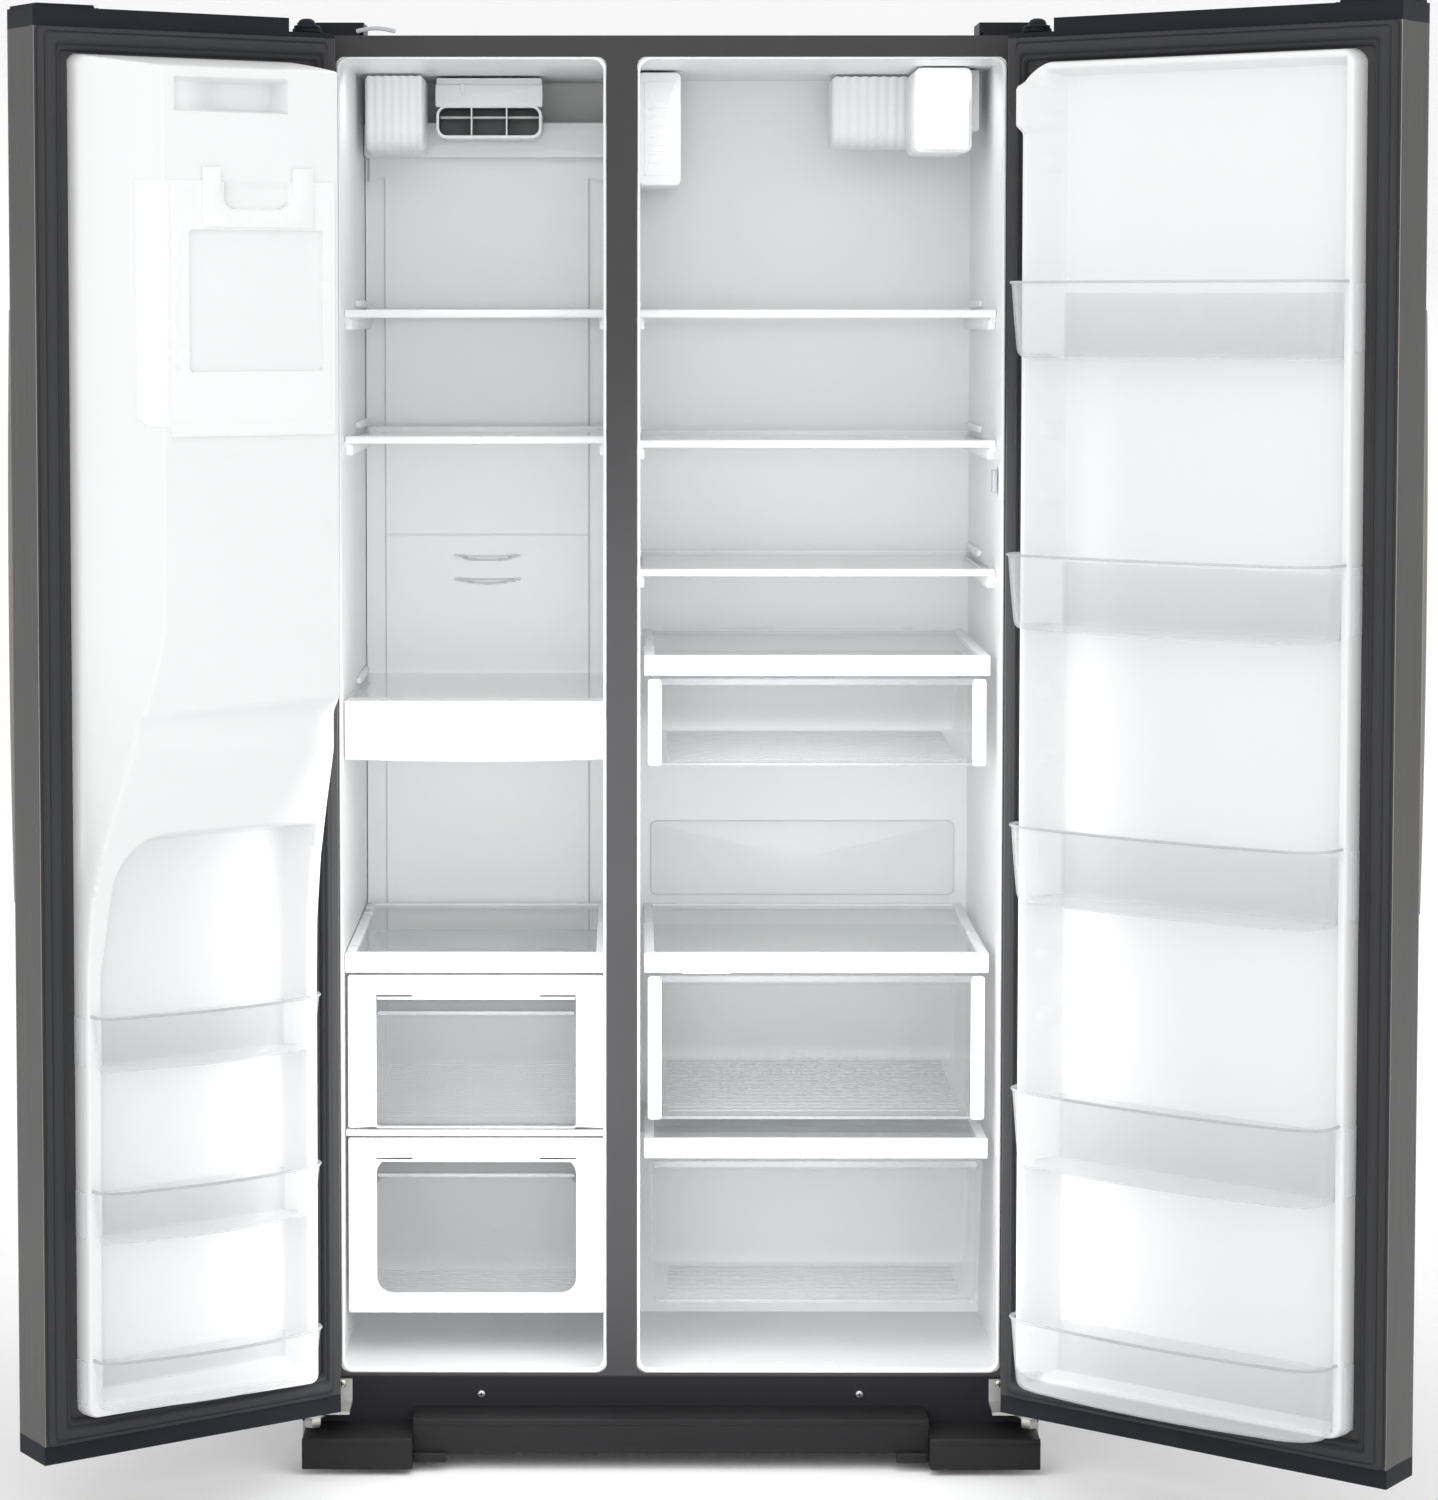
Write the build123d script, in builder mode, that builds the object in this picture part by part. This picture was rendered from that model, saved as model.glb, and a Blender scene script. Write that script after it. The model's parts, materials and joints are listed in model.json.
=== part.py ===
from build123d import *
import os
from dataclasses import dataclass
from math import cos, radians, sin

# Side by side refrigerator. Millimetres; X to the right, Y towards the back, Z up.
# The origin is on the floor, under the middle of the cabinet's front edge.
# Both doors stand open, so that the compartments can be reached.

# ---------------------------------------------------------------- driving dimensions

# cabinet
cabinet_width = 908.0
cabinet_depth = 608.0
cabinet_top = 1744.0
cabinet_bottom = 44.0
side_wall = 48.0
mullion_width = 37.0
opening_bottom = 104.0
top_wall = 25.0
opening_radius = 12.0
sheet = 1.5
front_plate = 2.0
liner_wall = 2.5
rear_panel_ribs = (600.0, 1500.0)
rear_rib = 1.0

# compartments and the machine room under them
freezer_back_wall = 55.0
fridge_back_wall = 108.0
step_rise = 226.0
step_slope = 50.0
machine_room_depth = 230.0
machine_room_wall = 38.0
machine_room_cover = 45.0

# doors
freezer_door_width = 392.0
door_space = 8.0
door_thickness = 78.0
door_gap = 14.0
door_bottom = 77.0
door_rise = 13.0
door_skin = 1.2
door_radius = 12.0
cap_height = 22.0
cap_rise = 4.0
cap_rise_length = 78.0
cap_rise_inset = (6.0, 4.0)
freezer_door_open = 146.2
fridge_door_open = 143.4
door_liner_wall = 3.0
dyke_width = 10.0
dyke_height = 28.0
freezer_dyke_hinge_height = 46.0
fridge_dyke_hinge_height = 60.0
dyke_hinge_inset = 52.0
dyke_free_inset = 42.0
dyke_end_inset = 52.0
mullion_shift = 2.0

# hinges
pin_inset = 17.5
pin_setback = 38.0
pin_radius = 5.0
pin_head = (9.0, 5.0)
running_clearance = 0.06
hinge_plate = 4.0
hinge_width = 34.0
hinge_reach = 60.0
hinge_pocket = 62.0
hinge_cover_height = 12.0
hinge_cover_wall = 2.0
hinge_cover_overhang = 20.0
hinge_cover_setback = 4.0
bottom_hinge_width = 58.0
bottom_hinge_inset = 4.0
bottom_hinge_drop = 6.0
pocket_depth = 16.0
boss_radius = 13.0
boss_depth = 24.0
boss_rise = 11.0
pin_depth = 26.0

# gaskets
gasket_width = 28.0
gasket_hinge_width = 14.0
gasket_edge = 4.0
gasket_hinge_edge = 13.0
gasket_inner_end = 24.0
gasket_gap = 0.5

# handles
handle_bottom = 700.0
handle_top = 1430.0
handle_width = 20.0
handle_depth = 13.0
handle_standoff = 34.0
handle_bow = 9.0
handle_inset = 30.0
handle_foot = 34.0
handle_foot_width = 14.0
handle_rounding = 5.2

# shelves and covers
shelf_front = 112.0
shelf_back_gap = 18.0
freezer_shelf_gap = 11.0
shelf_levels = (1411.0, 1249.0, 1088.0)
freezer_shelf_levels = (1411.0, 1254.0)
pane = 4.0
trim_height = 10.0
trim_depth = 12.0
trim_lip = 2.0
trim_rounding = 2.5
side_gap = 1.0
ledge_width = 7.0
ledge_height = 9.0
glass_shelf_level = 926.0
glass_shelf_gap = 23.0
fascia_height = 74.0
fascia_depth = 60.0
fascia_wall = 3.0

# drawers
drawer_front = 80.0
cover_back_gap = 20.0
basket_cover_gap = 13.0
cover_levels = (985.0, 613.0, 379.0)
cover_height = 27.0
cover_rail = 12.0
cover_rail_height = 10.0
cover_clear = 9.0
cover_pane_drop = 2.0
crisper_names = ("upper_crisper", "middle_crisper", "lower_crisper")
crisper_bottoms = (846.0, 402.0, 170.0)
crisper_back_gap = 25.0
crisper_step_gap = 4.0
crisper_wall = 2.5
crisper_face = 4.0
crisper_side = 14.0
crisper_rounding = 14.0
drawer_clear = 1.2
basket_names = ("freezer_upper_basket", "freezer_lower_basket")
basket_bottoms = (392.0, 158.0)
basket_clear = 2.0
basket_rail = 9.0
basket_rail_depth = 20.0
basket_back_gap = 28.0
basket_step_gap = 12.0
basket_side = 4.0
basket_front = 10.0
basket_wall_inset = 6.0
basket_box_drop = 4.0
window_inset = 36.0
window_end = 24.0
window_radius = 18.0

# door bins: low edge, height and reach from the door's inner face
fridge_bins = (
    (1357.0, 88.0, 104.0),
    (1039.0, 88.0, 108.0),
    (716.0, 91.0, 82.0),
    (400.0, 92.0, 80.0),
    (142.0, 76.0, 80.0),
)
freezer_bins = ((536.0, 65.0, 68.0), (336.0, 62.0, 68.0), (142.0, 58.0, 68.0))
bin_wall = 3.0
bin_radius = 24.0
bin_back = 4.0
bin_end_gap = 2.0

# ice and water module on the freezer door
ice_hinge_inset = 54.0
ice_free_inset = 109.0
ice_reach = 106.0
ice_top_drop = 61.0
ice_height = 1054.0
ice_wall = 3.0
ice_flare = 74.0
ice_shoulder_drop = 617.0
ice_foot_reach = 48.0
ice_slope = (66.0, 212.0)
ice_crease = (148.0, 276.0, 53.0)
ice_bin_drop = 135.0
ice_bin_height = 298.0
ice_bin_inset = 10.0
ice_bin_clear = 1.0
ice_bin_depth = 84.0
ice_bin_wall = 3.0
ice_bin_proud = 6.0
ice_bin_mouth = 70.0
latch_width = 112.0
latch_height = 62.0
latch_depth = 5.0
latch_gap = 0.6
latch_hole = (62.0, 28.0)
latch_inset = 6.0
latch_hole_inset = 8.0
latch_travel = 8.0

# dispenser in the freezer door's outer face
dispenser_low = 930.0
dispenser_high = 1330.0
dispenser_width = 200.0
dispenser_depth = 62.0
dispenser_wall = 2.5
dispenser_panel_height = 120.0
nozzle_half = 18.0
nozzle_length = 22.0
paddle_width = 56.0
paddle_height = 120.0
paddle_thick = 5.0
paddle_reach = 24.0
paddle_drop = 30.0
paddle_rounding = 8.0

# base
grille_reach = 81.0
grille_panel_reach = 60.0
grille_low = 8.0
grille_end_top = 46.0
grille_panel_low = 22.0
grille_panel_top = 64.0
grille_end_width = 140.0
grille_inset = 6.0
grille_wall = 4.0
foot_radius = 22.0
foot_height = 9.0
foot_stem = 6.0
foot_inset = 62.0
foot_y = 46.0
roller_radius = 18.0
roller_width = 20.0
roller_inset = 49.0
roller_back_inset = 68.0
roller_chamfer = 1.5
axle_radius = 4.0
pan_sheet = 2.5
pan_skirt = 22.0
ear = 3.0
ear_gap = 0.5
rail_screw_x = 233.0
rail_screw_rise = 4.0
hinge_screw_insets = (49.0, 14.0)
hinge_screw_z = 92.0
screw_head = 5.0
screw_height = 2.6
screw_slot = (6.0, 1.0, 1.0)

# machine room
compressor_radius = 76.0
compressor_height = 150.0
compressor_rounding = 34.0
compressor_inset = 164.0
compressor_feet = (75.0, 38.0)
compressor_foot_radius = 11.0
compressor_foot_height = 16.0
compressor_plate = (90.0, 50.0, 14.0)
compressor_rise = 24.0
coil_tube = 3.0
coil_inset = 284.0
coil_length = 290.0
coil_rise = 40.0
coil_rows = 6
coil_columns = 4
coil_pitch = 26.0
coil_plate = 2.0
coil_plate_edge = 10.0
drain_pan_height = 18.0
drain_pan_wall = 2.0
drain_pan_edge = (12.0, 10.0)
fan_radius = 62.0
fan_hub = 18.0
fan_blades = 5
blade_size = (2.4, 24.0)
blade_root = 3.0
blade_tilt = 30.0
fan_depth = 16.0
fan_clear = 1.5
fan_shaft_reach = 3.0
motor_radius = 26.0
motor_length = 40.0
motor_foot = (20.0, 4.0)
cooling_fan_inset = 254.0
cooling_fan_rise = 110.0
inlet_radius = 6.35
inlet_collar = 9.0
inlet_length = 16.0
inlet_inset = 124.0
inlet_z = 120.0
valve_size = (56.0, 48.0)
valve_back_gap = 12.0
valve_rise = 34.0
coil_cap = (15.0, 44.0, 24.0)
gland_inset = 54.0
gland_z = 90.0
gland_bore = 4.0
gland_wall = 4.0
gland_length = 14.0
vent_slot = (46.0, 6.0)
vent_pitch = (64.4, 15.6)
vent_count = (8, 9)
vent_x = -60.0

# evaporator, its fan and its cover
evaporator_space = 60.0
evaporator_rise = 20.0
evaporator_height = 450.0
evaporator_side_gap = 22.0
evaporator_gaps = (10.0, 6.0)
fin_count = 15
fin_pitch = 30.0
fin_slot = (6.0, 8.0, 14.0, 18.0)
evaporator_brackets = (40.0, 390.0)
bracket_height = 20.0
evaporator_fan_offset = 163.0
evaporator_fan_gap = 9.0
evaporator_fan_z = 1180.0
evaporator_fan_radius = 52.0
evaporator_motor_length = 30.0
cover_wall = 3.0
cover_top_drop = 100.0
cover_ledge = 4.0
cover_ledge_reach = 34.0
cover_ledge_rise = 40.0
cover_rib = (8.0, 8.0)
cover_rib_inset = 34.0
cover_rib_ends = (120.0, 130.0)
slot_levels = (1083.0, 1052.0)
air_slot = (86.0, 9.0)

# compartment fittings
duct_offset = 102.0
duct_width = 138.0
duct_depth = 76.0
duct_back_gap = 37.0
duct_drop = 83.0
duct_wall = 4.0
duct_back = 6.0
duct_mouth = 34.0
duct_rounding = 9.0
duct_rib = 2.0
air_box_width = 55.0
air_box_offset = 1.5
air_box_depth = 218.0
air_box_back_gap = 20.0
air_box_drop = 147.0
air_box_rounding = 10.0
freezer_lens_offset = 12.0
freezer_lens_width = 76.0
freezer_lens_y = (330.0, 440.0)
freezer_lens_drop = 101.0
fridge_lens_offset = 82.0
fridge_lens_width = 112.0
fridge_lens_y = (350.0, 440.0)
fridge_lens_drop = 95.0
lens_rounding = 16.0
lamp_panel_gaps = (19.5, 18.0)
lamp_panel_depth = 5.0
lamp_panel_z = (622.0, 722.0)
filter_axis_inset = 62.0
filter_axis_drop = 73.0
filter_y = (170.0, 345.0)
filter_box = 72.0
filter_box_rounding = 8.0
filter_radius = 26.0
filter_fit = 0.5
filter_back_wall = 10.0
filter_back_gap = 12.0
filter_start_gap = 6.0
filter_grip = (8.0, 3.0)
filter_door_depth = 10.0
filter_door_top = 36.0
filter_door_gap = 0.5
filter_ear = (4.0, 14.0)
filter_hinge_rise = 7.0
filter_hinge_setback = 6.0
filter_hinge_pin = 1.5
filter_hinge_barrel = 4.0
slider_slot_offset = 57.5
slider_slot_width = 58.0
slider_z = (589.0, 601.0)
slider_depth = 6.0
slider_proud = 3.0
slider_width = 22.0
slider_start = 18.0
slider_fit = 0.5
switch_reach = 10.0
switch_travel = 3.0
switch_gap = 0.4
switch_rounding = 2.0
switch_y = (56.0, 78.0)
switch_z = (1187.0, 1217.0)

# cuts run this far past the faces that they open
past = 1.0

# ---------------------------------------------------------------- places that follow from them

half = cabinet_width / 2
opening_top = cabinet_top - top_wall
door_top = cabinet_top + door_rise
fridge_door_width = cabinet_width - freezer_door_width - door_space
mullion_middle = -half + freezer_door_width + mullion_shift
foam_x = (-half + sheet, half - sheet)
freezer_x = (-half + side_wall, mullion_middle - mullion_width / 2)
fridge_x = (mullion_middle + mullion_width / 2, half - side_wall)

freezer_depth = cabinet_depth - freezer_back_wall
fridge_depth = cabinet_depth - fridge_back_wall
machine_room_front = cabinet_depth - machine_room_depth
step_head = machine_room_front - machine_room_wall
step_foot = step_head - step_slope
step_height = opening_bottom + step_rise
machine_room_top = step_height - machine_room_cover
room_middle = (machine_room_front + cabinet_depth) / 2
pin_y = -door_gap - pin_setback

evaporator_face = freezer_depth - evaporator_space
shelf_depth = fridge_depth - shelf_back_gap - shelf_front
freezer_shelf_depth = evaporator_face - freezer_shelf_gap - shelf_front
cover_depth = fridge_depth - cover_back_gap - drawer_front
basket_cover_depth = evaporator_face - basket_cover_gap - drawer_front
crisper_depth = fridge_depth - crisper_back_gap - drawer_front
low_crisper_depth = step_foot - crisper_step_gap - drawer_front
crisper_depths = (crisper_depth, crisper_depth, low_crisper_depth)
basket_depths = (
    evaporator_face - basket_back_gap - drawer_front,
    step_foot - basket_step_gap - drawer_front,
)
basket_tops = (
    cover_levels[1] - cover_height - basket_clear,
    basket_bottoms[0] - basket_clear * 2 - basket_rail,
)
cover_x = (fridge_x[0] + cover_clear, fridge_x[1] - cover_clear)
basket_cover_x = (freezer_x[0] + side_gap, freezer_x[1] - side_gap)
cover_places = (
    (cover_x, cover_levels[0], cover_depth),
    (cover_x, cover_levels[1], cover_depth),
    (cover_x, cover_levels[2], low_crisper_depth + cover_rail),
    (basket_cover_x, cover_levels[1], basket_cover_depth),
)

ice_width = freezer_door_width - ice_hinge_inset - ice_free_inset
ice_top = door_top - ice_top_drop
ice_foot = ice_top - ice_height
ice_bin_high = ice_top - ice_bin_drop
ice_bin_low = ice_bin_high - ice_bin_height

roller_x = half - roller_inset
roller_y = cabinet_depth - roller_back_inset
inlet_x = half - inlet_inset
gland_x = half - gland_inset
coil_x = (-half + coil_inset, -half + coil_inset + coil_length)
ceiling = opening_top - side_gap

os.makedirs("parts", exist_ok=True)


# ---------------------------------------------------------------- helpers

def save(piece, name):
    """Labels a finished piece and writes its STEP file."""
    piece.part.label = name
    export_step(piece.part, f"parts/{name}.step")


def slab(x, y, z, mode=Mode.ADD):
    """Box between two corners, given as (low, high) pairs."""
    size = [abs(pair[1] - pair[0]) for pair in (x, y, z)]
    with Locations((min(x), min(y), min(z))):
        Box(*size, align=(Align.MIN, Align.MIN, Align.MIN), mode=mode)


def rod(start, radius, length, turn=(0, 0, 0), mode=Mode.ADD):
    """Round bar from a start point, along +Z unless it is turned."""
    with Locations(Location(start, turn)):
        Cylinder(radius, length, align=(Align.CENTER, Align.CENTER, Align.MIN), mode=mode)


along_y = (-90, 0, 0)
along_x = (0, 90, 0)


def grow(pair, amount):
    """A (low, high) pair widened at both ends."""
    return (pair[0] - amount, pair[1] + amount)


def middle(pair):
    """The point halfway along a pair."""
    return (pair[0] + pair[1]) / 2


@dataclass
class Door:
    """One door. side is -1 on the left and +1 on the right.

    Lengths u run from the hinge edge, and w run inwards from the inner face.
    The door's own plane turns about its hinge pins.
    """

    name: str
    side: int
    width: float
    open_angle: float
    dyke: float

    @property
    def pivot(self):
        return (self.side * (half - pin_inset), pin_y, 0)

    @property
    def direction(self):
        turn = radians(self.side * self.open_angle)
        return (cos(turn), sin(turn), 0)

    @property
    def inward(self):
        turn = radians(self.side * self.open_angle)
        return (-sin(turn), cos(turn), 0)

    @property
    def plane(self):
        return Plane(origin=self.pivot, x_dir=self.direction, z_dir=(0, 0, 1))

    def u(self, start, end):
        """The door-plane x span of two distances from the hinge edge."""
        return tuple(sorted((self.side * (pin_inset - start), self.side * (pin_inset - end))))

    def w(self, start, end):
        """The door-plane y span of two distances inwards from the inner face."""
        return (start + pin_setback, end + pin_setback)

    def side_plane(self, u):
        """Upright plane across the door: its x is inwards from the pin, its y is up."""
        origin = self.plane.from_local_coords(Vector(self.side * (pin_inset - u), 0, 0))
        return Plane(origin=origin, x_dir=self.inward, z_dir=self.direction)


freezer_door = Door("freezer_door", -1, freezer_door_width, freezer_door_open, freezer_dyke_hinge_height)
fridge_door = Door("fridge_door", 1, fridge_door_width, fridge_door_open, fridge_dyke_hinge_height)
doors = (freezer_door, fridge_door)
dispenser_start = (freezer_door_width - dispenser_width) / 2
dispenser_u = freezer_door.u(dispenser_start, dispenser_start + dispenser_width)
dispenser_z = (dispenser_low, dispenser_high)


# ---------------------------------------------------------------- cabinet walls

def make_cabinet_shell():
    """Steel wrap: two sides and the top."""
    with BuildPart() as shell:
        slab((-half, half), (front_plate, cabinet_depth), (cabinet_bottom, cabinet_top))
        slab(foam_x, (0, cabinet_depth + past), (0, cabinet_top - sheet), Mode.SUBTRACT)
    save(shell, "cabinet_shell")


def make_front_frame():
    """Flat front flange with the two openings, and the mullion between them."""
    with BuildPart() as frame:
        slab((-half, half), (0, front_plate), (cabinet_bottom, cabinet_top))
        for opening in (freezer_x, fridge_x):
            with BuildSketch(Plane.XZ):
                with Locations((middle(opening), (opening_bottom + opening_top) / 2)):
                    RectangleRounded(
                        opening[1] - opening[0], opening_top - opening_bottom, opening_radius
                    )
            extrude(amount=-front_plate, mode=Mode.SUBTRACT)
    save(frame, "front_frame")


def compartment(opening, depth, margin=0.0):
    """Adds the space of one compartment, grown by a margin, with the step over the machine room."""
    start = front_plate
    floor = opening_bottom - margin
    corner = step_height - margin
    with BuildSketch(Plane.YZ.offset(opening[0] - margin)) as side:
        with BuildLine():
            Polyline(
                (start, floor),
                (step_foot, floor),
                (step_head, corner),
                (depth + margin, corner),
                (depth + margin, opening_top + margin),
                (start, opening_top + margin),
                close=True,
            )
        make_face()
    extrude(side.sketch, amount=opening[1] - opening[0] + 2 * margin)


with BuildPart() as freezer_space:
    compartment(freezer_x, freezer_depth)
with BuildPart() as fridge_space:
    compartment(fridge_x, fridge_depth)
with BuildPart() as freezer_block:
    compartment(freezer_x, freezer_depth, liner_wall)
with BuildPart() as fridge_block:
    compartment(fridge_x, fridge_depth, liner_wall)


def shelf_ledges(opening, levels, depth):
    """Side ledges that carry the shelves."""
    for level in levels:
        height = (level - pane - ledge_height, level - pane)
        for wall in ((opening[0], opening[0] + ledge_width), (opening[1] - ledge_width, opening[1])):
            slab(wall, (shelf_front + trim_depth + side_gap, shelf_front + depth), height)


def make_liners():
    """The two moulded inner liners."""
    with BuildPart() as freezer_liner:
        add(freezer_block.part)
        add(freezer_space.part, mode=Mode.SUBTRACT)
        shelf_ledges(freezer_x, freezer_shelf_levels, freezer_shelf_depth)
    save(freezer_liner, "freezer_liner")
    with BuildPart() as fridge_liner:
        add(fridge_block.part)
        add(fridge_space.part, mode=Mode.SUBTRACT)
        shelf_ledges(fridge_x, shelf_levels, shelf_depth)
    save(fridge_liner, "fridge_liner")


def make_cabinet_foam():
    """Foam between the steel wrap and the liners."""
    with BuildPart() as foam:
        slab(foam_x, (front_plate, cabinet_depth), (cabinet_bottom, cabinet_top - sheet))
        add(freezer_block.part, mode=Mode.SUBTRACT)
        add(fridge_block.part, mode=Mode.SUBTRACT)
        slab(
            grow(foam_x, sheet),
            (machine_room_front, cabinet_depth + past),
            (0, machine_room_top),
            Mode.SUBTRACT,
        )
    save(foam, "cabinet_foam")


def make_back():
    """Rear panel, and the slotted cover of the machine room with its cord gland."""
    back = cabinet_depth
    rib = (back + sheet, back + sheet + rear_rib)
    with BuildPart() as rear_panel:
        slab((-half, half), (back, back + sheet), (machine_room_top, cabinet_top))
        for x in (-half / 2, half / 2):
            slab(grow((x, x), half / 6), rib, rear_panel_ribs)
    save(rear_panel, "rear_panel")

    with BuildPart() as cover:
        slab((-half, half), (back, back + sheet), (cabinet_bottom, machine_room_top - side_gap))
        with BuildSketch(Plane.XZ.offset(-back)):
            with Locations((vent_x, middle((cabinet_bottom, machine_room_top)))):
                with GridLocations(*vent_pitch, *vent_count):
                    SlotOverall(*vent_slot)
            with Locations((inlet_x, inlet_z)):
                Circle(inlet_collar + 2)
            with Locations((gland_x, gland_z)):
                Circle(gland_bore)
        extrude(amount=-sheet, mode=Mode.SUBTRACT)
        rod((gland_x, back + sheet, gland_z), gland_bore + gland_wall, gland_length - sheet, along_y)
        rod((gland_x, back, gland_z), gland_bore, gland_length + sheet, along_y, Mode.SUBTRACT)
    save(cover, "machine_room_cover")


# ---------------------------------------------------------------- base

def make_base():
    """Base pan with skirts and roller ears, feet, rollers and the front grille."""
    skirt = cabinet_bottom - pan_sheet - pan_skirt
    pan = (cabinet_bottom - pan_sheet, cabinet_bottom)
    ears = []
    for side in (-1, 1):
        for edge in (-1, 1):
            inner = side * roller_x + edge * (roller_width / 2 + ear_gap)
            ears.append((inner, inner + edge * ear))
    with BuildPart() as base_pan:
        slab((-half, half), (front_plate, cabinet_depth), pan)
        for x in ((-half, -half + pan_sheet), (half - pan_sheet, half)):
            slab(x, (front_plate, cabinet_depth), (skirt, cabinet_bottom))
        for x in ears:
            slab(x, grow((roller_y, roller_y), roller_radius),
                 (roller_radius - axle_radius * 2, cabinet_bottom))
        for side in (-1, 1):
            length = roller_width + 2 * (ear_gap + ear)
            start = side * roller_x - length / 2
            rod((start, roller_y, roller_radius), axle_radius, length, along_x)
    save(base_pan, "base_pan")

    for side, name in ((-1, "rear_roller_left"), (1, "rear_roller_right")):
        start = side * roller_x - roller_width / 2
        with BuildPart() as roller:
            rod((start, roller_y, roller_radius), roller_radius, roller_width, along_x)
            chamfer(roller.edges(), roller_chamfer)
            bore = axle_radius + running_clearance
            rod((start, roller_y, roller_radius), bore, roller_width, along_x, Mode.SUBTRACT)
        save(roller, name)

    with BuildPart() as feet:
        for x in (-half + foot_inset, half - foot_inset):
            rod((x, foot_y, 0), foot_radius, foot_height)
            rod((x, foot_y, foot_height), foot_stem, cabinet_bottom - pan_sheet - foot_height)
    save(feet, "leveling_feet")

    panel = half - grille_end_width
    face = (-grille_panel_reach, -grille_panel_reach + grille_wall)
    end_face = (-grille_reach, -grille_reach + grille_wall)
    with BuildPart() as grille:
        slab((-panel, panel), face, (grille_panel_low, grille_panel_top))
        slab((-panel, panel), (face[0], 0), (grille_panel_top - grille_wall, grille_panel_top))
        for side in (-1, 1):
            end = (side * panel, side * (half - grille_inset))
            slab(end, end_face, (grille_low, grille_end_top))
            slab(end, (end_face[0], 0), (grille_end_top - grille_wall, grille_end_top))
            wall = (side * panel, side * (panel + grille_wall))
            slab(wall, (end_face[0], 0), (grille_low, grille_end_top))
    save(grille, "base_grille")


def make_screws():
    """Slotted screws of the front rail and of the bottom hinges."""
    rail = middle((cabinet_bottom, opening_bottom)) + rail_screw_rise
    places = [(x, 0, rail) for x in (-rail_screw_x, rail_screw_x)]
    for side in (-1, 1):
        for inset in hinge_screw_insets:
            places.append((side * (half - inset), -hinge_plate, hinge_screw_z))
    length, width, depth = screw_slot
    with BuildPart() as screws:
        for x, y, z in places:
            face = y - screw_height
            rod((x, face, z), screw_head, screw_height, along_y)
            slab(grow((x, x), length / 2), (face, face + depth), grow((z, z), width / 2), Mode.SUBTRACT)
    save(screws, "cabinet_screws")


# ---------------------------------------------------------------- hinges

def make_hinges():
    """Top and bottom hinge plates with their pins, and the covers of the top ones."""
    reach = hinge_width / 2
    head_radius, head_height = pin_head
    plate = (cabinet_top, cabinet_top + hinge_plate)
    cover_y = (front_plate + hinge_cover_setback, hinge_reach + hinge_cover_overhang)
    cover_z = (plate[1], plate[1] + hinge_cover_height)
    with BuildPart() as top_hinges:
        for door in doors:
            x, y, _ = door.pivot
            inner = x - door.side * hinge_reach
            slab((inner, x + door.side * reach), (front_plate, hinge_reach), plate)
            slab((x - reach, x + reach), (y, front_plate), plate)
            rod((x, y, plate[0]), reach, hinge_plate)
            rod((x, y, plate[1] - pin_depth), pin_radius, pin_depth)
            rod((x, y, plate[1]), head_radius, head_height)
        for door in doors:
            inner = door.pivot[0] - door.side * (hinge_reach + hinge_cover_setback)
            outer = door.side * (half - side_gap)
            box = tuple(sorted((inner, outer)))
            slab(box, cover_y, cover_z)
            slab(grow(box, -hinge_cover_wall), grow(cover_y, -hinge_cover_wall),
                 (cover_z[0], cover_z[1] - hinge_cover_wall), Mode.SUBTRACT)
            slab((inner, inner + door.side * hinge_cover_wall), cover_y, plate)
    save(top_hinges, "top_hinges")

    shelf = (door_bottom - bottom_hinge_drop - hinge_plate, door_bottom - bottom_hinge_drop)
    with BuildPart() as bottom_hinges:
        for door in doors:
            x, y, _ = door.pivot
            outer = half - bottom_hinge_inset
            span = (door.side * (outer - bottom_hinge_width), door.side * outer)
            slab(span, (-hinge_plate, 0), (shelf[0], door_bottom + cap_height - side_gap))
            slab(span, (y, 0), shelf)
            rod((x, y, shelf[0]), reach, hinge_plate)
            rod((x, y, shelf[0]), pin_radius, pin_depth)
    save(bottom_hinges, "bottom_hinges")


# ---------------------------------------------------------------- cooling parts

def fan(name, x, y, z, radius):
    """Fan rotor on an axis along Y: a hub with twisted blades round it."""
    with BuildPart() as rotor:
        rod((x, y, z), fan_hub, fan_depth, along_y)
        blade = radius - fan_hub + blade_root
        for step in range(fan_blades):
            turn = Location((x, y + fan_depth / 2, z), (0, step * 360 / fan_blades, 0))
            tilt = Location((fan_hub - blade_root + blade / 2, 0, 0), (blade_tilt, 0, 0))
            with Locations(turn * tilt):
                Box(blade, *blade_size)
        bore = pin_radius + running_clearance
        rod((x, y - past, z), bore, fan_depth + 2 * past, along_y, Mode.SUBTRACT)
    save(rotor, name)


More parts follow.
